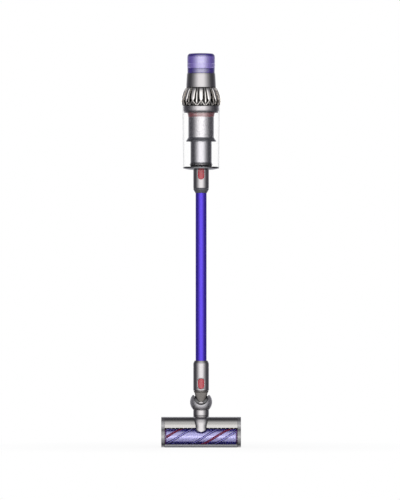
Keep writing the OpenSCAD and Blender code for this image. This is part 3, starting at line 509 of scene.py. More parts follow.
# The tongue: a rounded shield that runs down from the stem over the front of the barrel
shield_r = 21.2
rings = []
for wide, drop in (
        (21.0, 5.8), (19.6, 10), (17.6, 16), (15.6, 22), (13.8, 27), (11.8, 31), (9.4, 34.2), (6.0, 36.6), (2.0, 37.6)):
    z = flange - drop
    out = shield_r if z > pivot_z else sqrt(shield_r ** 2 - (z - pivot_z) ** 2)
    front = [(wide * sin(a), -out * (0.32 * cos(a) ** 0.7 + 0.7), z) for a in arc(21, -pi / 2, pi / 2)]
    rings.append(front + [(x, -14.0, z) for x, y, z in reversed(front)])
place("neck_tongue", skinned("neck_tongue", rings, angle=50), nylon, "neck")
toe = bmesh.new()
toe_at = Matrix.Translation((0, -20.6 * MM, 141.6 * MM)) @ Matrix.Diagonal((8.4 * MM, 2.0 * MM, 3.8 * MM, 1))
bmesh.ops.create_uvsphere(toe, u_segments=48, v_segments=24, radius=1.0, matrix=toe_at)
place("neck_toe", finished_mesh("neck_toe", toe), silver, "neck")

(_, _, foot), (r, _, top) = box("ball_yoke")
bulge = [(r * cos(a), pivot_z + r * sin(a)) for a in arc(41, asin((foot - pivot_z) / r), asin((top - pivot_z) / r))]
ball = turned("ball_yoke", satin, [(0, foot), *bulge, (0, top)], 160, foot=0)
half = 22.3                                          # half the space between the cheeks
cradle = [(half * cos(a), top - 8.5 + half * sin(a)) for a in arc(33, pi, TURN)]
brow = [(half, top + 5), (-half, top + 5)]
carve(ball, turned_mesh("slot", [(0, -half), (20.3, -half), (20.3, half), (0, half)], 96, pivot, level=True),
      prism("opening", brow + cradle, -40, 0.5),
      prism("behind", brow + [(-half, pivot_z - 20.3), (half, pivot_z - 20.3)], 0, 40),
      turned_mesh("way", [(0, foot - 5), (duct_r, foot - 5), (duct_r, pivot_z), (0, pivot_z)], 64))
edge = [(x, -sqrt(r * r - x * x - (z - pivot_z) ** 2), z) for x, z in cradle if z < top - 1.0]
inner_edge = [(x * 0.97, y + 2.0, z + (0.6 if abs(x) < 20 else 0)) for x, y, z in reversed(edge)]
lip("cradle_lip", edge + inner_edge, 0.7, black_abs, "yoke")
seam_x = 24.9
ring = sqrt(r * r - seam_x ** 2)
for name, side in (("cheek_seam_left", -1), ("cheek_seam_right", 1)):
    seam = [(side * seam_x, ring * cos(a), pivot_z + ring * sin(a)) for a in arc(72)]
    lip(name, [point for point in seam if foot + 0.4 < point[2] < top - 0.4], 0.55, black_abs, "yoke")
caps = both_sides("pivot_caps", [(0, r - 0.2), (7.6, r - 0.6), (8.6, r - 1.4), (8.8, r - 4), (0, r - 4)], pivot)
place("yoke_caps", caps, dark_abs, "yoke")

r, h = round_size("swivel_collar")
turned("swivel_collar", silver, [
    (duct_r, 0), (17, 0, 0.4), (17, 10.9), (r - 0.6, 11.3, 0.3), (r, 12.2, 0.4), (r, h - 0.8, 0.4),
    (r - 0.8, h, 0.3), (duct_r, h)])


# ---- Floor head ----
# A silver-lacquered half tube over the roller, closed at its ends by smoky caps. The air
# duct bows forward over it as one smooth nose, and the front is a clear window.
def dressed(node, material, bevel, segments=3, angle=28):
    """The node's own shape as one smooth mesh with its edges broken by a bevel in mm."""
    source = frame["nodes"][node]
    shape = bmesh.new()
    shape.from_mesh(source.data)
    bmesh.ops.remove_doubles(shape, verts=shape.verts, dist=2e-6)
    bmesh.ops.dissolve_limit(shape, angle_limit=radians(1.0), verts=shape.verts, edges=shape.edges)
    piece = place(node + "_skin", finished_mesh(node + "_skin", shape, angle), material, source["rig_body"])
    edge = piece.modifiers.new("edge", "BEVEL")
    edge.width = bevel * MM
    edge.segments = segments
    edge.limit_method = "ANGLE"
    edge.angle_limit = radians(angle)
    edge.harden_normals = True
    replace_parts(applied(piece), node)


def node_tree(name, **inputs):
    """A Geometry Nodes tree with a mesh, the named inputs and a material going in."""
    tree = bpy.data.node_groups.new(name, "GeometryNodeTree")
    tree.interface.new_socket("Geometry", in_out="OUTPUT", socket_type="NodeSocketGeometry")
    for label, kind in dict(Geometry="Geometry", **inputs, Material="Material").items():
        tree.interface.new_socket(label, in_out="INPUT", socket_type="NodeSocket" + kind)
    return tree, add(tree, "NodeGroupInput").outputs


def end_tree(tree, given, geometry):
    """Ends a tree with real faces in the given material."""
    real = add(tree, "GeometryNodeRealizeInstances", (geometry,))
    coated = add(tree, "GeometryNodeSetMaterial", {"Geometry": real, "Material": given["Material"]})
    add(tree, "NodeGroupOutput", (coated,))


def grown(mesh, tree, **inputs):
    """The plain mesh that a Geometry Nodes tree makes of a mesh and its named inputs."""
    holder = shown("holder", mesh)
    nodes = holder.modifiers.new("nodes", "NODES")
    nodes.node_group = tree
    for item in tree.interface.items_tree:
        if item.in_out == "INPUT" and item.name in inputs:
            nodes[item.identifier] = inputs[item.name]
    plain = applied(holder).data
    bpy.data.objects.remove(holder)
    return plain


# Clear polycarbonate: mostly see-through, with a gloss that grows towards its edges
clear, tree = blank("clear polycarbonate")
through = add(tree, "BsdfTransparent", (colour("#FFFFFF"),))
skin = add(tree, "BsdfPrincipled", {"Base Color": colour("#FFFFFF"), "Roughness": 0.06, "IOR": 1.58})
facing = add(tree, "LayerWeight", (0.5,))
rim = add(tree, "Math", (facing.outputs["Facing"], 8.0), operation="POWER")
share = add(tree, "Math", (rim, 0.8, 0.004), operation="MULTIPLY_ADD", use_clamp=True)
both = add(tree, "MixShader", (share, through, skin))
add(tree, "OutputMaterial", (both,))
# A darker, finer silver lacquer, rubbed to an even sheen over the wide housing
dressed("head_housing", lacquer("pearl", "#868482", "#969492", (0.19, 0.26), coat_rough=0.1), 0.5, angle=35)

# Small pale teeth along the upper edge of the window comb hair off the roller
teeth_row, given = node_tree("row of teeth", Count="Int", Pitch="Float", Start="Vector")
step = add(teeth_row, "CombineXYZ", (given["Pitch"],))
points = add(teeth_row, "GeometryNodeMeshLine", {
    "Count": given["Count"], "Start Location": given["Start"], "Offset": step})
teeth = add(teeth_row, "GeometryNodeInstanceOnPoints", {"Points": points, "Instance": given["Geometry"]})
end_tree(teeth_row, given, teeth)
ivory = moulded_abs("pale ABS teeth", "#CCC8C6", "#E2DEDC", 0.3)
tooth = prism("tooth", [(-1.7, -1.8), (1.7, -1.8), (1.7, 1.8), (-1.7, 1.8)], -0.8, 0.8, angle=40, broken=0.7, steps=3)
low, high = box("head_housing")
for name, x in (("comb_teeth_left", low[0] + 8), ("comb_teeth_right", 26)):
    start = (x * MM, (low[1] + 0.3) * MM, 62.8 * MM)
    teeth = grown(tooth, teeth_row, Count=7, Pitch=13.0 * MM, Start=start, Material=ivory)
    place(name, teeth, ivory, "head")

# Duct nose: level sections with a round front, from the swivel face down to a round tip
low, high = box("roller_velvet")
reel_y, reel_z = reel = (low[1] + high[1]) / 2, (low[2] + high[2]) / 2
reel_r, reel_end = (high[2] - low[2]) / 2, high[0]
pane_r = reel_y - box("roller_window")[0][1]         # outer radius of the window round the roller
low, high = box("duct_nose")
wide, top, tip, front = high[0], high[2], low[2], low[1]
narrow = 18.3
bend = 36.0                                          # radius of the curve over the housing
crest = 98.0
house_y, house_z, house_r = -31.6, 70.0, 26.0        # the housing's rounded front edge
rings = []
for z in [top, top - 0.8, crest + 0.8, *(crest - k * 1.5 for k in range(1, 22)),
          *(tip + 17 * (1 - k / 10) ** 1.6 + 0.3 for k in range(11))]:
    if z > 96:
        half = wide - 0.5 if z > top - 0.5 else wide
    elif z > 69:
        half = narrow + (wide - narrow) * (z - 69) / 27
    else:
        half = narrow * sqrt(max(1 - (max(tip + narrow - z, 0) / narrow) ** 3, 0.02))
    ahead, proud = -half, half
    if z <= crest:
        ahead = front + bend - bend * max(1 - (max(z - crest + bend, 0) / bend) ** 4, 0) ** 0.25
        wall = house_y - sqrt(max(house_r ** 2 - max(z - house_z, 0) ** 2, 0))
        proud = min(wall - ahead + 2.5, half)
    if z < 62:
        proud = min(half, 0.8 * (reel_y - sqrt(pane_r ** 2 - (z - reel_z) ** 2) - ahead))
    back, deep = (0, half) if z > 80 else (-30, 2)
    rings.append([(half * cos(a), ahead + proud - proud * sin(a), z) for a in arc(33, 0, pi)]
                 + [(half * cos(a), back - deep * sin(a), z) for a in arc(33, pi, TURN)])
nose = place("duct_nose_skin", skinned("duct_nose", rings, angle=50), silver, "head", "duct_nose")
r = pane_r + 0.15
carve(nose, turned_mesh("bore", [(0, 60), (duct_r, 60), (duct_r, 89.6), (17.3, 89.6), (17.3, 130), (0, 130)], 64),
      turned_mesh("clearance", [(0, -40), (r, -40), (r, 40), (0, 40)], 96, reel, level=True))

smoky = moulded_abs("smoky lacquer on ABS", "#747374", "#848384", 0.2, Metallic=0.7)
dressed("end_cap_left", smoky, 1.6)
dressed("end_cap_right", smoky, 1.6)
dressed("roller_window", clear, 0.3)
dressed("front_lip", grey_abs, 1.0)
dressed("sole_plate", dark_abs, 0.5)


# ---- Roller ----
# Soft nylon pile woven on a tube, wound with four helical strips: two of stiff red
# nylon bristle and two of dark carbon-fibre bristle, each along a thin hem whose pale lilac is painted highlight.
def bristle(name, dark, light, ior):
    """Cut nylon bristle: fine strands side by side, seen as short streaks along the strip."""
    return finish(name, dark, light, 0.7, 0.7, stretch=(0.3, 1, 1), Roughness=0.4, IOR=ior,
                  Specular_Tint=colour("#DCD8FF"))


lead = 312.0                                         # length of roller for one turn of a strip


def strip(name, material, width, height, phase):
    """A strip of a given width and height wound on the roller from an angle at its left end."""
    root = reel_r - 1.4
    rings = []
    for k in range(91):
        x = (reel_end - 1) * (k / 45 - 1)
        turn = phase - TURN * (x + reel_end - 1) / lead
        rings.append([(x, reel_y + r * cos(a), reel_z + r * sin(a)) for r, a in (
            (root, turn - width / 2 / root), (root + height, turn - 0.35 * width / root),
            (root + height, turn + 0.35 * width / root), (root, turn + width / 2 / root))])
    place(name, skinned(name, rings, angle=40), material, "roller")


# Short nylon velvet: deep violet, with a pale sheen where its fibres catch the light
velvet = finish("violet nylon pile", "#180E6C", "#241A86", 1.1, 0.12, detail=2.0, Roughness=0.16, IOR=2.45,
                Specular_IOR_Level=1.0, Specular_Tint=colour("#DCD8FF"))
# Short tufts are scattered over the sleeve and stand on it
tufted, given = node_tree("tufts", Density="Float", Length="Float")
points = add(tufted, "GeometryNodeDistributePointsOnFaces", {
    "Mesh": given["Geometry"], "Density": given["Density"], "Seed": 7})
tuft = add(tufted, "GeometryNodeMeshCone", {
    "Vertices": 3, "Radius Bottom": 0.35 * MM, "Radius Top": 0.08 * MM, "Depth": given["Length"]})
stand = add(tufted, "FunctionNodeAlignRotationToVector", {"Vector": points.outputs["Normal"]}, axis="Z")
tufts = add(tufted, "GeometryNodeInstanceOnPoints", {"Points": points, "Instance": tuft, "Rotation": stand})
joined = add(tufted, "GeometryNodeJoinGeometry", (given["Geometry"],))
tufted.links.new(tufts.outputs[0], joined.inputs[0])
end_tree(tufted, given, joined)
r, x = reel_r, reel_end
sleeve = turned_mesh("roller_velvet", [
    (r - 4, -x), (r - 1.6, -x, 0.8), (r - 1.0, 1.5 - x, 0.5), (r - 1.0, x - 1.5, 0.5), (r - 1.6, x, 0.8), (r - 4, x)],
    96, reel, level=True)
pile = grown(sleeve, tufted, Density=90000.0, Length=0.3 * MM, Material=velvet)
place("roller_pile", pile, velvet, "roller", "roller_velvet")

crimson = bristle("red nylon bristle", "#4A0626", "#740A38", 1.5)
carbon = bristle("carbon-fibre bristle", "#0C0B14", "#181722", 1.2)
# The hems' pale lilac is painted highlight: the colour of the pile where it catches the light
hem_with_painted_highlight = bristle("hem of the strips, pale as painted highlight", "#6A60C0", "#8A82D8", 2.2)
# Facing the front, the red row crosses the roller's middle 46 mm to the right of the
# cleaner's axis, with a row of carbon fibre 37 mm to each side of it
for tag, half_turn in (("a", 0), ("b", pi)):
    start = half_turn + pi + TURN * (46 + reel_end) / lead
    strip("red_bristles_" + tag, crimson, 10.0, 1.4, start)
    for row, away in (("before", -37), ("after", 37)):
        phase = start + TURN * away / lead
        for edge, shift in (("a", -3.2), ("b", 3.2)):
            strip(f"carbon_bristles_{tag}_{row}_{edge}", carbon, 2.3, 1.3, phase + shift / reel_r)
        strip(f"strip_hem_{tag}_{row}", hem_with_painted_highlight, 3.6, 0.9, phase)


# ---- Wheels and the drive in the head ----
# Two soft-tyred wheels carry the back of the head. A motor inside the roller turns it,
# and the roller's other end runs on a ball bearing round a steel stub.
def soft_rubber(name, dark, light, rough=0.6, ior=1.52):
    """Moulded elastomer with a dusty grain: matt, or glossier where it is a polished seal."""
    return finish(name, dark, light, 0.8, 0.2 * rough, (rough - 0.06, rough + 0.08), IOR=ior, Specular_IOR_Level=0.8)


rubber = soft_rubber("black rubber", "#1B1B1D", "#29292B")
low, high = box("rear_wheels")
r = (high[2] - low[2]) / 2
x, inner = high[0], high[0] - 11                     # a wheel's outer and inner face
wheels = both_sides("rear_wheels", [
    (2.1, inner), (r - 2.2, inner, 0.4), (r - 2.2, inner + 0.6), (r - 0.8, inner + 0.6, 0.5), (r, inner + 2.2, 0.8),
    (r, x - 2.2, 0.8), (r - 0.8, x - 0.6, 0.5), (r - 2.2, x - 0.6), (r - 2.2, x, 0.4), (2.1, x)],
    ((low[1] + high[1]) / 2, (low[2] + high[2]) / 2))
place("rear_wheels_skin", wheels, rubber, "wheels", "rear_wheels")
# Ground bar stock: fine rings round its axis and a clean grey gloss
steel = finish("ground steel", "#98989C", "#B2B2B6", 0.5, 0.1, (0.26, 0.38), stretch=(4, 1, 1), Metallic=1.0)
faced(steel, "wheel_pins", "roller_stub", "roller_bearing", "brush_motor", "pivot_pins")
# Glass-epoxy board under green lacquer, over the faint relief of its copper tracks
board_green, tree = blank("green solder mask")
where = add(tree, "TexCoord")
tracks = add(tree, "TexBrick", {
    "Vector": where.outputs["Object"], "Scale": 1 / (6 * MM), "Color1": colour("#1E5A39"), "Color2": colour("#24683F"),
    "Mortar": colour("#2F7A4B"), "Mortar Size": 0.04})
surface(tree, Base_Color=tracks, Roughness=0.34, IOR=1.55)
faced(board_green, "head_board")
faced(moulded_abs("magenta ABS", "#4C1B60", "#602777"), "roller_core")


# ---- Lid and inlet ----
# The bin's lid is a domed ABS disc with a raised ring that seals the dust tube. The
# silver collar under it takes the wand, and its catch sits in a pocket in front.
graphite = moulded_abs("graphite lacquer on ABS", "#76767A", "#86868A", 0.24, Metallic=0.95)
dressed("lid", graphite, 0.5, angle=24)
faced(rubber, "lid_seal")
# A raised step inside the bin and a pale lining on the flared ring that meets the dust tube
z = box("lid_seal")[0][2] + 1
for name, material, segments, outline in (
        ("lid_step", graphite, 120, [(38, z - 0.2), (52.4, z - 0.2), (52.4, z + 3.0, 0.6), (38, z + 3.0, 0.6)]),
        ("lid_flare", silver, 120, [
            (32.2, z + 2), (32.8, z + 2), (36.7, z + 10, 0.3), (36.7, z + 10.9), (36.0, z + 10.9), (36.0, z + 10.1)]),
        ("lid_dish", graphite, 144, [
            (26.6, z - 1.2), (26.6, z - 5.4), (27.6, z - 7.2, 0.8), (36, z - 7.0, 4), (48, z - 4.8, 3),
            (57.5, z - 2.4), (57.5, z - 1.2)])):
    place(name, turned_mesh(name, outline, segments), material, "lid")
faced(steel, "lid_hinge_pin")

r, h = round_size("inlet_collar")
bore = wand_r + 0.3
inlet = turned("inlet_collar", silver, [
    (bore, 0), (r - 1.2, 0, 0.4), (r, 1.4, 0.4), (r, 12.4), (r - 0.5, 12.4), (r - 0.5, 13.2),
    (r, 13.2), (r, h - 1.2, 0.6), (r - 0.8, h), (15.2, h), (15.2, 37.2), (bore, 37.2)])
carve(inlet, prism("pocket", catch_outline("upper_catch", 0.45), *CATCH_POCKET))


# ---- Clear bin ----
# Injection-moulded clear polycarbonate, slightly tapered so that it leaves its mould,
# with a thicker rim. A grey rail at its back runs on the cleaner's spine.
wall = 2.0
r, h = round_size("clear_bin")
foot_r = r - 2
turned("clear_bin", clear, [
    (foot_r - wall, 0), (foot_r - 0.6, 0, 0.3), (foot_r, 0.8, 0.3), (foot_r, 4.2, 0.4),
    (foot_r - 0.4, 4.8, 0.4), (r - 0.4, h - 6.8, 0.4), (r, h - 6, 0.4), (r, h - 0.6, 0.4), (r - 0.6, h, 0.3),
    (r - wall, h), (r - wall, h - 3)], 180)
dressed("bin_runner", grey_abs, 0.7)


# ---- Shroud ----
# Inside the bin: a tube for the fine dust standing in a rubber lip, a flared skirt that
# keeps coarse dirt down, and the shroud, a cylinder of etched steel with fine holes.
ring_of, given = node_tree("ring of units", Count="Int", Rows="Int", Rise="Float", First="Float", Shift="Float")
total = add(ring_of, "Math", (given["Count"], given["Rows"]), operation="MULTIPLY")
points = add(ring_of, "GeometryNodeMeshLine", {"Count": total, "Offset": (0, 0, 0)})
index = add(ring_of, "GeometryNodeInputIndex")
share = add(ring_of, "Math", (index, given["Count"]), operation="DIVIDE")
row = add(ring_of, "Math", (share,), operation="FLOOR")
step = add(ring_of, "Math", (TURN, given["Count"]), operation="DIVIDE")
turn = add(ring_of, "Math", (index, step, given["First"]), operation="MULTIPLY_ADD")
shifted = add(ring_of, "Math", (row, given["Shift"], turn), operation="MULTIPLY_ADD")
height = add(ring_of, "Math", (row, given["Rise"]), operation="MULTIPLY")
angle = add(ring_of, "CombineXYZ", {"Z": shifted})
lift = add(ring_of, "CombineXYZ", {"Z": height})
placed = add(ring_of, "GeometryNodeSetPosition", {"Geometry": points, "Position": lift})
end_tree(ring_of, given, add(ring_of, "GeometryNodeInstanceOnPoints", {
    "Points": placed, "Instance": given["Geometry"], "Rotation": angle}))


def ringed(name, unit, material, body, count, *nodes, rows=1, rise=0.0, first=-90.0, shift=0.0):
    """Sets a unit mesh round the axis count times, in rows, as one plain mesh."""
    mesh = grown(unit, ring_of, Count=count, Rows=rows, Rise=rise * MM, First=radians(first),
                 Shift=radians(shift), Material=material)
    place(name, mesh, material, body, *nodes)


r, h = round_size("dust_tube_seal")
turned("dust_tube_seal", graphite, [
    (31.9, 0), (r - 2.6, 0, 0.3), (r, 1.4, 0.5), (r, 2.4, 0.5), (r - 1.2, 3.0, 0.3),
    (r - 0.6, h - 0.7, 0.4), (r - 1.6, h, 0.3), (31.9, h)], 120)
r, h = round_size("dust_tube")
turned("dust_tube", lacquer("pewter", "#98969A", "#A8A6AA", (0.17, 0.24), depth=0.05), [
    (r - 2, 0), (r, 0, 0.3), (r, 2.8), (r - 0.5, 2.8), (r - 0.5, 3.6), (r, 3.6), (r, h),
    (r - 2, h)], 120)
faced(grey_abs, "inlet_duct")

(_, _, low_z), (mesh_r, _, high_z) = box("shroud_mesh")
r, h = round_size("shroud_skirt")
turned("shroud_skirt", graphite, [
    (34.2, 3), (34.2, 0), (r - 1.4, 0, 0.4), (r, 1.2, 0.7), (r - 1.2, 3.4, 1.0),
    (mesh_r + 2.6, h - 5, 3), (mesh_r + 0.3, h - 1.2, 0.6), (mesh_r + 0.1, h), (34.2, h)])

# Stainless sheet with its holes etched through: satin, a little blue
sheet_steel = finish("etched stainless steel", "#B4B2B4", "#C8C6C8", 0.7, 0.12, (0.22, 0.32), stretch=(1, 1, 0.15),
                     Metallic=1.0)
# Holes of 1.3 mm every 2.6 mm: the real sheet's are finer, and would not show
pitch = 2.6
hole_r = 0.66
plain = 1.2                                          # height of the bands without holes
rows = int((high_z - low_z - 2 * plain) // pitch)
count = int(TURN * mesh_r // pitch)
wide = pi * mesh_r / count * 1.001
middle_z = low_z + plain + pitch / 2
rim = [(1, -0.41), (1, 0.41), (0.41, 1), (-0.41, 1), (-1, 0.41), (-1, -0.41), (-0.41, -1), (0.41, -1)]
edge = [(1, -1), (1, 1), (1, 1), (-1, 1), (-1, 1), (-1, -1), (-1, -1), (1, -1)]
tile = skinned("tile", [[(x, a * y, middle_z + b * z) for y, z in outline] for x, a, b, outline in (
    (mesh_r, hole_r, hole_r, rim), (mesh_r, wide, pitch / 2, edge), (mesh_r - 0.5, wide, pitch / 2, edge),
    (mesh_r - 0.5, hole_r, hole_r, rim))], loop=True)
ringed("shroud_holed_sheet", tile, sheet_steel, "machine", count, "shroud_mesh", rows=rows, rise=pitch)
band_z = low_z + plain + rows * pitch
for name, material, segments, inner, outer, foot, top in (
        ("shroud_lining", black_abs, 96, mesh_r - 2.4, mesh_r - 1.6, low_z, high_z),
        ("shroud_foot_band", sheet_steel, 144, mesh_r - 1.2, mesh_r, low_z, low_z + plain),
        ("shroud_top_band", sheet_steel, 144, mesh_r - 1.2, mesh_r, band_z, high_z)):
    outline = [(inner, foot), (outer, foot), (outer, top), (inner, top)]
    place(name, turned_mesh(name, outline, segments), material, "machine")
seam = prism("shroud_seam", [(-2.5, low_z), (2.5, low_z), (2.5, high_z), (-2.5, high_z)], mesh_r - 0.2, mesh_r + 0.3)
place("shroud_seam", seam, sheet_steel, "machine")

r, h = round_size("shroud_seal")
turned("shroud_seal", soft_rubber("red rubber", "#7C2022", "#902A2C", 0.22, 2.6), [
    (mesh_r - 1.2, 0), (mesh_r + 0.2, 0, 0.3), (mesh_r + 1.4, 4, 0.6), (mesh_r + 1.0, 4.6, 0.2),
    (r - 0.8, h - 2.6, 0.6), (r, h - 1.6, 0.5), (r, h, 0.3), (mesh_r - 1.2, h)])
(_, _, foot), (r, _, top) = box("cyclone_collar")
place("collar_lip", turned_mesh("collar_lip", [
    (mesh_r, foot), (r - 3.4, foot, 0.4), (r - 2.7, foot + 1.2, 0.5), (r - 2.5, foot + 2.1), (mesh_r, foot + 2.1)],
    180), black_abs, "machine")
turned("cyclone_collar", silver, [
    (33, foot + 2.2), (r - 2.9, foot + 2.2), (r, foot + 6.6, 1.0), (r, foot + 7.6, 0.4), (r - 0.5, foot + 8.2),
    (r - 0.5, foot + 9.2), (r, foot + 9.4), (r, top, 0.3), (33, top)], 180, foot=0)


# ---- Cyclones ----
# Fourteen small cyclones in a ring, moulded with their core and coated nickel grey. A
# fin stands between each two, and crossed struts tie their points to the collar.
def lofted(name, sections, power=2.0, count=24):
    """A closed form through level sections (z, centre radius, half width, half depth) along +X."""
    def bowed(v):
        return copysign(abs(v) ** (2 / power), v)
    return skinned(name, [[(centre + deep * bowed(cos(a)), wide * bowed(sin(a)), z) for a in arc(count)]
                          for z, centre, wide, deep in sections], angle=40)


def fin(name, inner, outline, thick):
    """An upright plate along +X between radius inner and the outline of (r, z), with broken edges."""
    def in_front(edge):
        a, b = (v.co for v in edge.verts)
        return abs(a.y - b.y) < 1e-6 and min(hypot(a.x, a.y), hypot(b.x, b.y)) > (inner + 0.5) * MM
    around = outline + [(inner, z) for r, z in reversed(outline)]
    return skinned(name, [[(r, side * thick / 2, z) for r, z in around] for side in (-1, 1)], angle=40,
                   broken=0.6, edges=in_front)


def strut(name, start, end, inner, thick):
    """A leaning strut between two (r, y, z) points, as deep as the radius inner."""
    along = Vector((end[1] - start[1], end[2] - start[2])).normalized() * thick / 2
    return skinned(name, [[(r, y - side * along.y, z + side * along.x) for r, side in (
        (inner, -1), (inner, 1), (outer, 1), (outer, -1))] for outer, y, z in (start, end)], angle=40, broken=0.4)


# Nickel-coloured vacuum coating on ABS: a warm grey metal with fine clouding
nickel = finish("nickel coating on ABS", "#C4C0BA", "#D6D2CE", 1.2, 0.05, (0.17, 0.25), Metallic=1.0, Coat_Weight=0.25,
                Coat_Roughness=0.08)
# The same coating, painted dull and nearly black in the recesses between the cyclones as painted shade
recess_painted_shade = finish("nickel coating with painted shade in recesses", "#161514", "#242322", 1.5, 0.1, (0.42, 0.56), Metallic=0.5)
cyclone_coat = moulded_abs("grey nickel coat on ABS", "#D2CECA", "#E2DEDA", 0.2, Metallic=1.0)
(_, _, foot), (_, _, top) = box("cyclones")
count = 14
core_r = round_size("motor_housing")[0] - 1
core = turned_mesh("cyclone_core", [
    (33, foot), (core_r + 10, foot, 0.4), (core_r + 10, foot + 2.6, 0.4), (core_r, foot + 3.4),
    (core_r, top - 1.4, 0.5), (core_r, top), (33, top)])
place("cyclone_core", core, recess_painted_shade, "machine", "cyclones")
lobe = lofted("cyclone_bodies", [(foot + z, *rest) for z, *rest in (
    (14.5, 55.5, 0.9, 4.2), (15.2, 55.6, 1.6, 5.2), (18, 55.6, 4.0, 7.0), (24, 55.0, 6.2, 8.0), (32, 53.5, 6.8, 7.9),
    (42, 51.0, 6.8, 7.2), (50, 48.5, 6.6, 6.3), (56, 45.5, 6.2, 5.5), (58.4, 44.2, 4.6, 4.6), (59.6, 43.4, 2.6, 3.2))],
    power=4.0, count=40)
ringed("cyclone_bodies", lobe, cyclone_coat, "machine", count)
rib = fin("cyclone_fins", core_r - 1, [
    (47.2, top - 1.6), (50.0, top - 5), (52.6, top - 8), (57.6, top - 15), (61.6, top - 25), (63.9, top - 37),
    (64.9, foot + 16), (64.6, foot + 11), (60.0, foot + 6), (57.6, foot + 2)], 3.6)
ringed("cyclone_fins", rib, nickel, "machine", count, first=-90 + 180 / count)
for name, side in (("cyclone_struts_left", -1), ("cyclone_struts_right", 1)):
    leg = strut(name, (64.2, 0.6 * side, foot + 17.2), (58.8, 11.2 * side, foot + 2.8), 55.0, 2.2)
    ringed(name, leg, nickel, "machine", count)
wedge = skinned("cyclone_wedges", [
    [(r, -5.6, foot + 2.9), (r, 5.6, foot + 2.9), (r, 0.8, foot + 12.4), (r, -0.8, foot + 12.4)] for r in (56.4, 58.6)],
    angle=40, broken=0.5)
ringed("cyclone_wedges", wedge, recess_painted_shade, "machine", count)
gusset = fin("cyclone_gussets", 52, [(60.4, foot + 11.6), (58.8, foot + 3)], 1.2)
ringed("cyclone_gussets", gusset, nickel, "machine", count)


# ---- Motor ----
# A lacquered housing like a shallow cone, parted by two fine grooves. In it a rubber
# mount holds the steel motor can, with its wound stator, bearings, impeller and board.
r, h = round_size("motor_housing")
top_r = r - 2.5
slope = (r - top_r) / h
shoulder_r = r - slope * (h - 4.2)                   # where the upper groove starts
turned("motor_housing", silver, [
    (40, 0), (r, 0, 0.3), (r - 3.2 * slope, 3.2), (r - 3.2 * slope - 0.5, 3.3),
    (r - 4 * slope - 0.5, 4), (r - 4.1 * slope, 4.1), (shoulder_r, h - 4.2), (shoulder_r - 0.4, h - 4.1),
    (top_r - 0.3, h - 3.5), (top_r, h - 3.4), (top_r, h - 0.8, 0.4), (top_r - 0.8, h, 0.3), (22, h),
    (22, h - 2.8), (42, h - 2.8), (42, 0)], 180)
faced(rubber, "motor_mount")
faced(steel, "motor_can", "motor_bearings")
# Enamelled copper wire in layers: amber gloss, with lines a wire's width apart
copper = finish("enamelled copper wire", "#8A4A20", "#C07A3E", 0.9, 0.6, (0.24, 0.36), stretch=(1, 1, 3), Metallic=0.9)
faced(copper, "motor_stator")
faced(board_green, "control_board")
faced(black_abs, "impeller", "filter_column")


# ---- Filter ----
# The filter lifts off the top: a violet bayonet ring, a lilac translucent drum with fine
# exhaust holes round its foot, pleated paper inside, and a deep violet domed cap.
# Polished violet ABS: deep colour under a bright highlight, lilac where it turns away
violet = finish("polished violet ABS", "#260A70", "#321282", 4.0, 0.05, (0.18, 0.25), IOR=1.85, Specular_IOR_Level=1.0,
                Coat_Weight=0.1, Coat_Roughness=0.12)
(_, _, foot), (ring_r, _, top) = box("filter_ring")
turned("filter_ring", violet, [
    (22, foot), (ring_r - 0.6, foot, 0.2), (ring_r, foot + 0.8, 0.4), (ring_r, top - 3.4), (ring_r - 0.4, top - 3.2),
    (ring_r - 0.4, top - 2.6), (ring_r, top - 2.4), (ring_r, top - 0.4, 0.3), (ring_r - 0.6, top), (ring_r - 3, top),
    (ring_r - 3, foot + 3), (22, foot + 3)], 180, foot=0)
ridge = fin("filter_ring_grips", ring_r - 0.6, [(ring_r + 0.35, top - 4.4), (ring_r + 0.35, foot + 2.2)], 1.1)
for tag, first in (("a", 15.0), ("b", 19.5), ("c", 24.0)):
    ringed("filter_ring_grips_" + tag, ridge, violet, "filter_ring", 4, first=first)

(_, _, foot), (r, _, top) = box("filter_unit")
cap_foot = top - 10
cap = turned_mesh("filter_cap", [
    (21.8, cap_foot), (ring_r - 0.2, cap_foot, 0.2), (ring_r, cap_foot + 1.0, 0.5), (ring_r - 0.6, top - 6.4, 2.4),
    (ring_r - 4.4, top - 1.2, 4.0), (24.6, top - 0.05, 1.0), (23.4, top - 0.3, 0.5), (21.8, top - 1.4, 0.4)], 180)
place("filter_cap", cap, violet, "filter", "filter_unit")
# Translucent lilac polycarbonate: the pleats behind show through as a soft shade
lilac = finish("translucent lilac polycarbonate", "#7058BC", "#8068CC", 2.0, 0.04, (0.18, 0.24), IOR=2.1,
               Specular_IOR_Level=1.0, Coat_Weight=0.8, Coat_Roughness=0.14)
tree = lilac.node_tree
through = add(tree, "BsdfTransparent", (colour("#C9BDF4"),))
both = add(tree, "MixShader", (0.2, tree.nodes["Principled BSDF"], through))
tree.links.new(both.outputs[0], tree.nodes["Material Output"].inputs["Surface"])
drum = turned_mesh("filter_drum", [
    (r - 2.4, foot), (r - 0.5, foot, 0.3), (r, foot + 0.8, 0.3), (r, cap_foot - 0.8, 0.4), (r - 0.8, cap_foot, 0.3),
    (r - 2.4, cap_foot)], 180)
place("filter_drum", drum, lilac, "filter")
base = turned_mesh("filter_base", [(21.8, foot), (r - 2.5, foot, 0.2), (r - 2.5, foot + 1.9), (21.8, foot + 1.9)], 120)
place("filter_base", base, violet, "filter")
# Pleated glass-fibre paper, faintly violet behind its drum, with a felted surface
paper = finish("pleated filter paper", "#A79DCB", "#C6BEE2", 0.9, 0.5, Roughness=0.9)
low_z, high_z = foot + 2, cap_foot - 0.1
pleats = skinned("filter_pleats", [[(reach[k % 2] * cos(a), reach[k % 2] * sin(a), z) for k, a in enumerate(arc(72))]
                                   for z, reach in ((low_z, (38.4, 30.5)), (high_z, (38.4, 30.5)), (high_z, (27, 27)),
                                                    (low_z, (27, 27)))], loop=True, angle=20)
place("filter_pleats", pleats, paper, "filter")
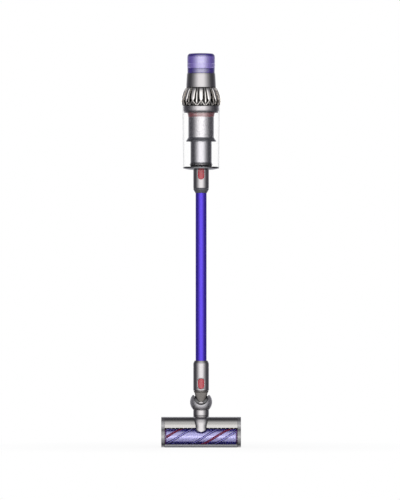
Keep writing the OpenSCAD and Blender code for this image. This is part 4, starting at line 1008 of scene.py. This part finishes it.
# Rims of the exhaust holes: lilac in front, and painted nearly white at the sides as painted backlight, for the light
# that comes through there
rims_with_painted_backlight, tree = blank("rims of the exhaust holes with painted backlight")
where = add(tree, "TexCoord")
axes = add(tree, "SeparateXYZ", (where.outputs["Object"],)).outputs
# Painted backlight: the colour grows paler with the distance from the middle along X
side = add(tree, "Math", (axes["X"],), operation="ABSOLUTE")
share = add(tree, "MapRange", (side, 0.6 * r * MM, 0.95 * r * MM))
shade = add(tree, "ValToRGB", (share,), stops=((0.0, "#8C78CE"), (1.0, "#F4F0FF")))
surface(tree, Base_Color=shade, Roughness=0.3, IOR=1.6)
dot = lofted("dot", [(foot + 2.6 + up, r - 0.05, *size) for up, *size in (
    (-0.8, 0.45, 0.25), (-0.5, 0.8, 0.3), (0.5, 0.8, 0.3), (0.8, 0.45, 0.25))], count=10)
ringed("filter_exhaust_holes", dot, rims_with_painted_backlight, "filter", 60, rows=4, rise=4.2, shift=3.0)


# ---- Screen ----
# A round dark bezel set in the filter's well, with a small screen behind hard-coated
# glass and a button that changes the power. The screen is off, so it shows nothing.
dressed("screen_bezel", black_abs, 0.3, angle=40)
# Hard-coated black glass: a mirror-flat gloss over the dark screen
glass = finish("coated black glass", "#09090F", "#0E0E16", 8.0, 0.01, Roughness=0.05, IOR=1.52, Coat_Weight=0.6,
               Coat_Roughness=0.03)
faced(glass, "screen_glass")
low, high = box("mode_button")
r, h = (high[0] - low[0]) / 2, high[2] - low[2]
turned("mode_button", silver, [
    (0, 0), (r, 0), (r, h - 0.3, 0.3), (r - 0.5, h, 0.2), (r - 1.4, h, 0.3), (0, h - 0.35)], 64,
    ((low[0] + high[0]) / 2, (low[1] + high[1]) / 2))


# ---- Grip ----
# The grip is one moulding with its spine and the battery dock. A red trigger turns on a
# pin under it, and a red lever on the spine lets the bin slide down to be emptied.
# Grey ABS with a soft-touch coat where the hand holds it: matt, with a leathery grain
soft_touch, tree = blank("soft-touch grey coat on ABS")
where = add(tree, "TexCoord")
cells = add(tree, "TexVoronoi", {"Vector": where.outputs["Object"], "Scale": 1 / (1.4 * MM)})
bump = add(tree, "Bump", {"Height": cells, "Strength": 0.25, "Distance": 0.12 * MM})
shade = add(tree, "ValToRGB", (cells,), stops=((0.1, "#75757B"), (0.8, "#606066")))
surface(tree, Base_Color=shade, Normal=bump, Roughness=0.58, IOR=1.5)
dressed("grip", soft_touch, 1.6, segments=4, angle=24)
dressed("trigger", red, 1.2, segments=4)
dressed("bin_lever", red, 0.7)
faced(steel, "trigger_pin")


# ---- Battery ----
# A moulded case slides on a tenon of the dock and clicks in. It holds six cells in green
# sleeves, has a red catch at the front, and takes the charger's plug in its top.
dressed("battery_case", dark_abs, 1.6, segments=4)
dressed("battery_catch", red, 0.6)
dressed("charge_socket", black_abs, 0.2)
# Green heat-shrink sleeve: thin glossy film drawn tight over each steel cell
film = finish("green heat-shrink film", "#2A7045", "#348653", 5.0, 0.05, (0.22, 0.34), IOR=1.46)
faced(film, "battery_cells")
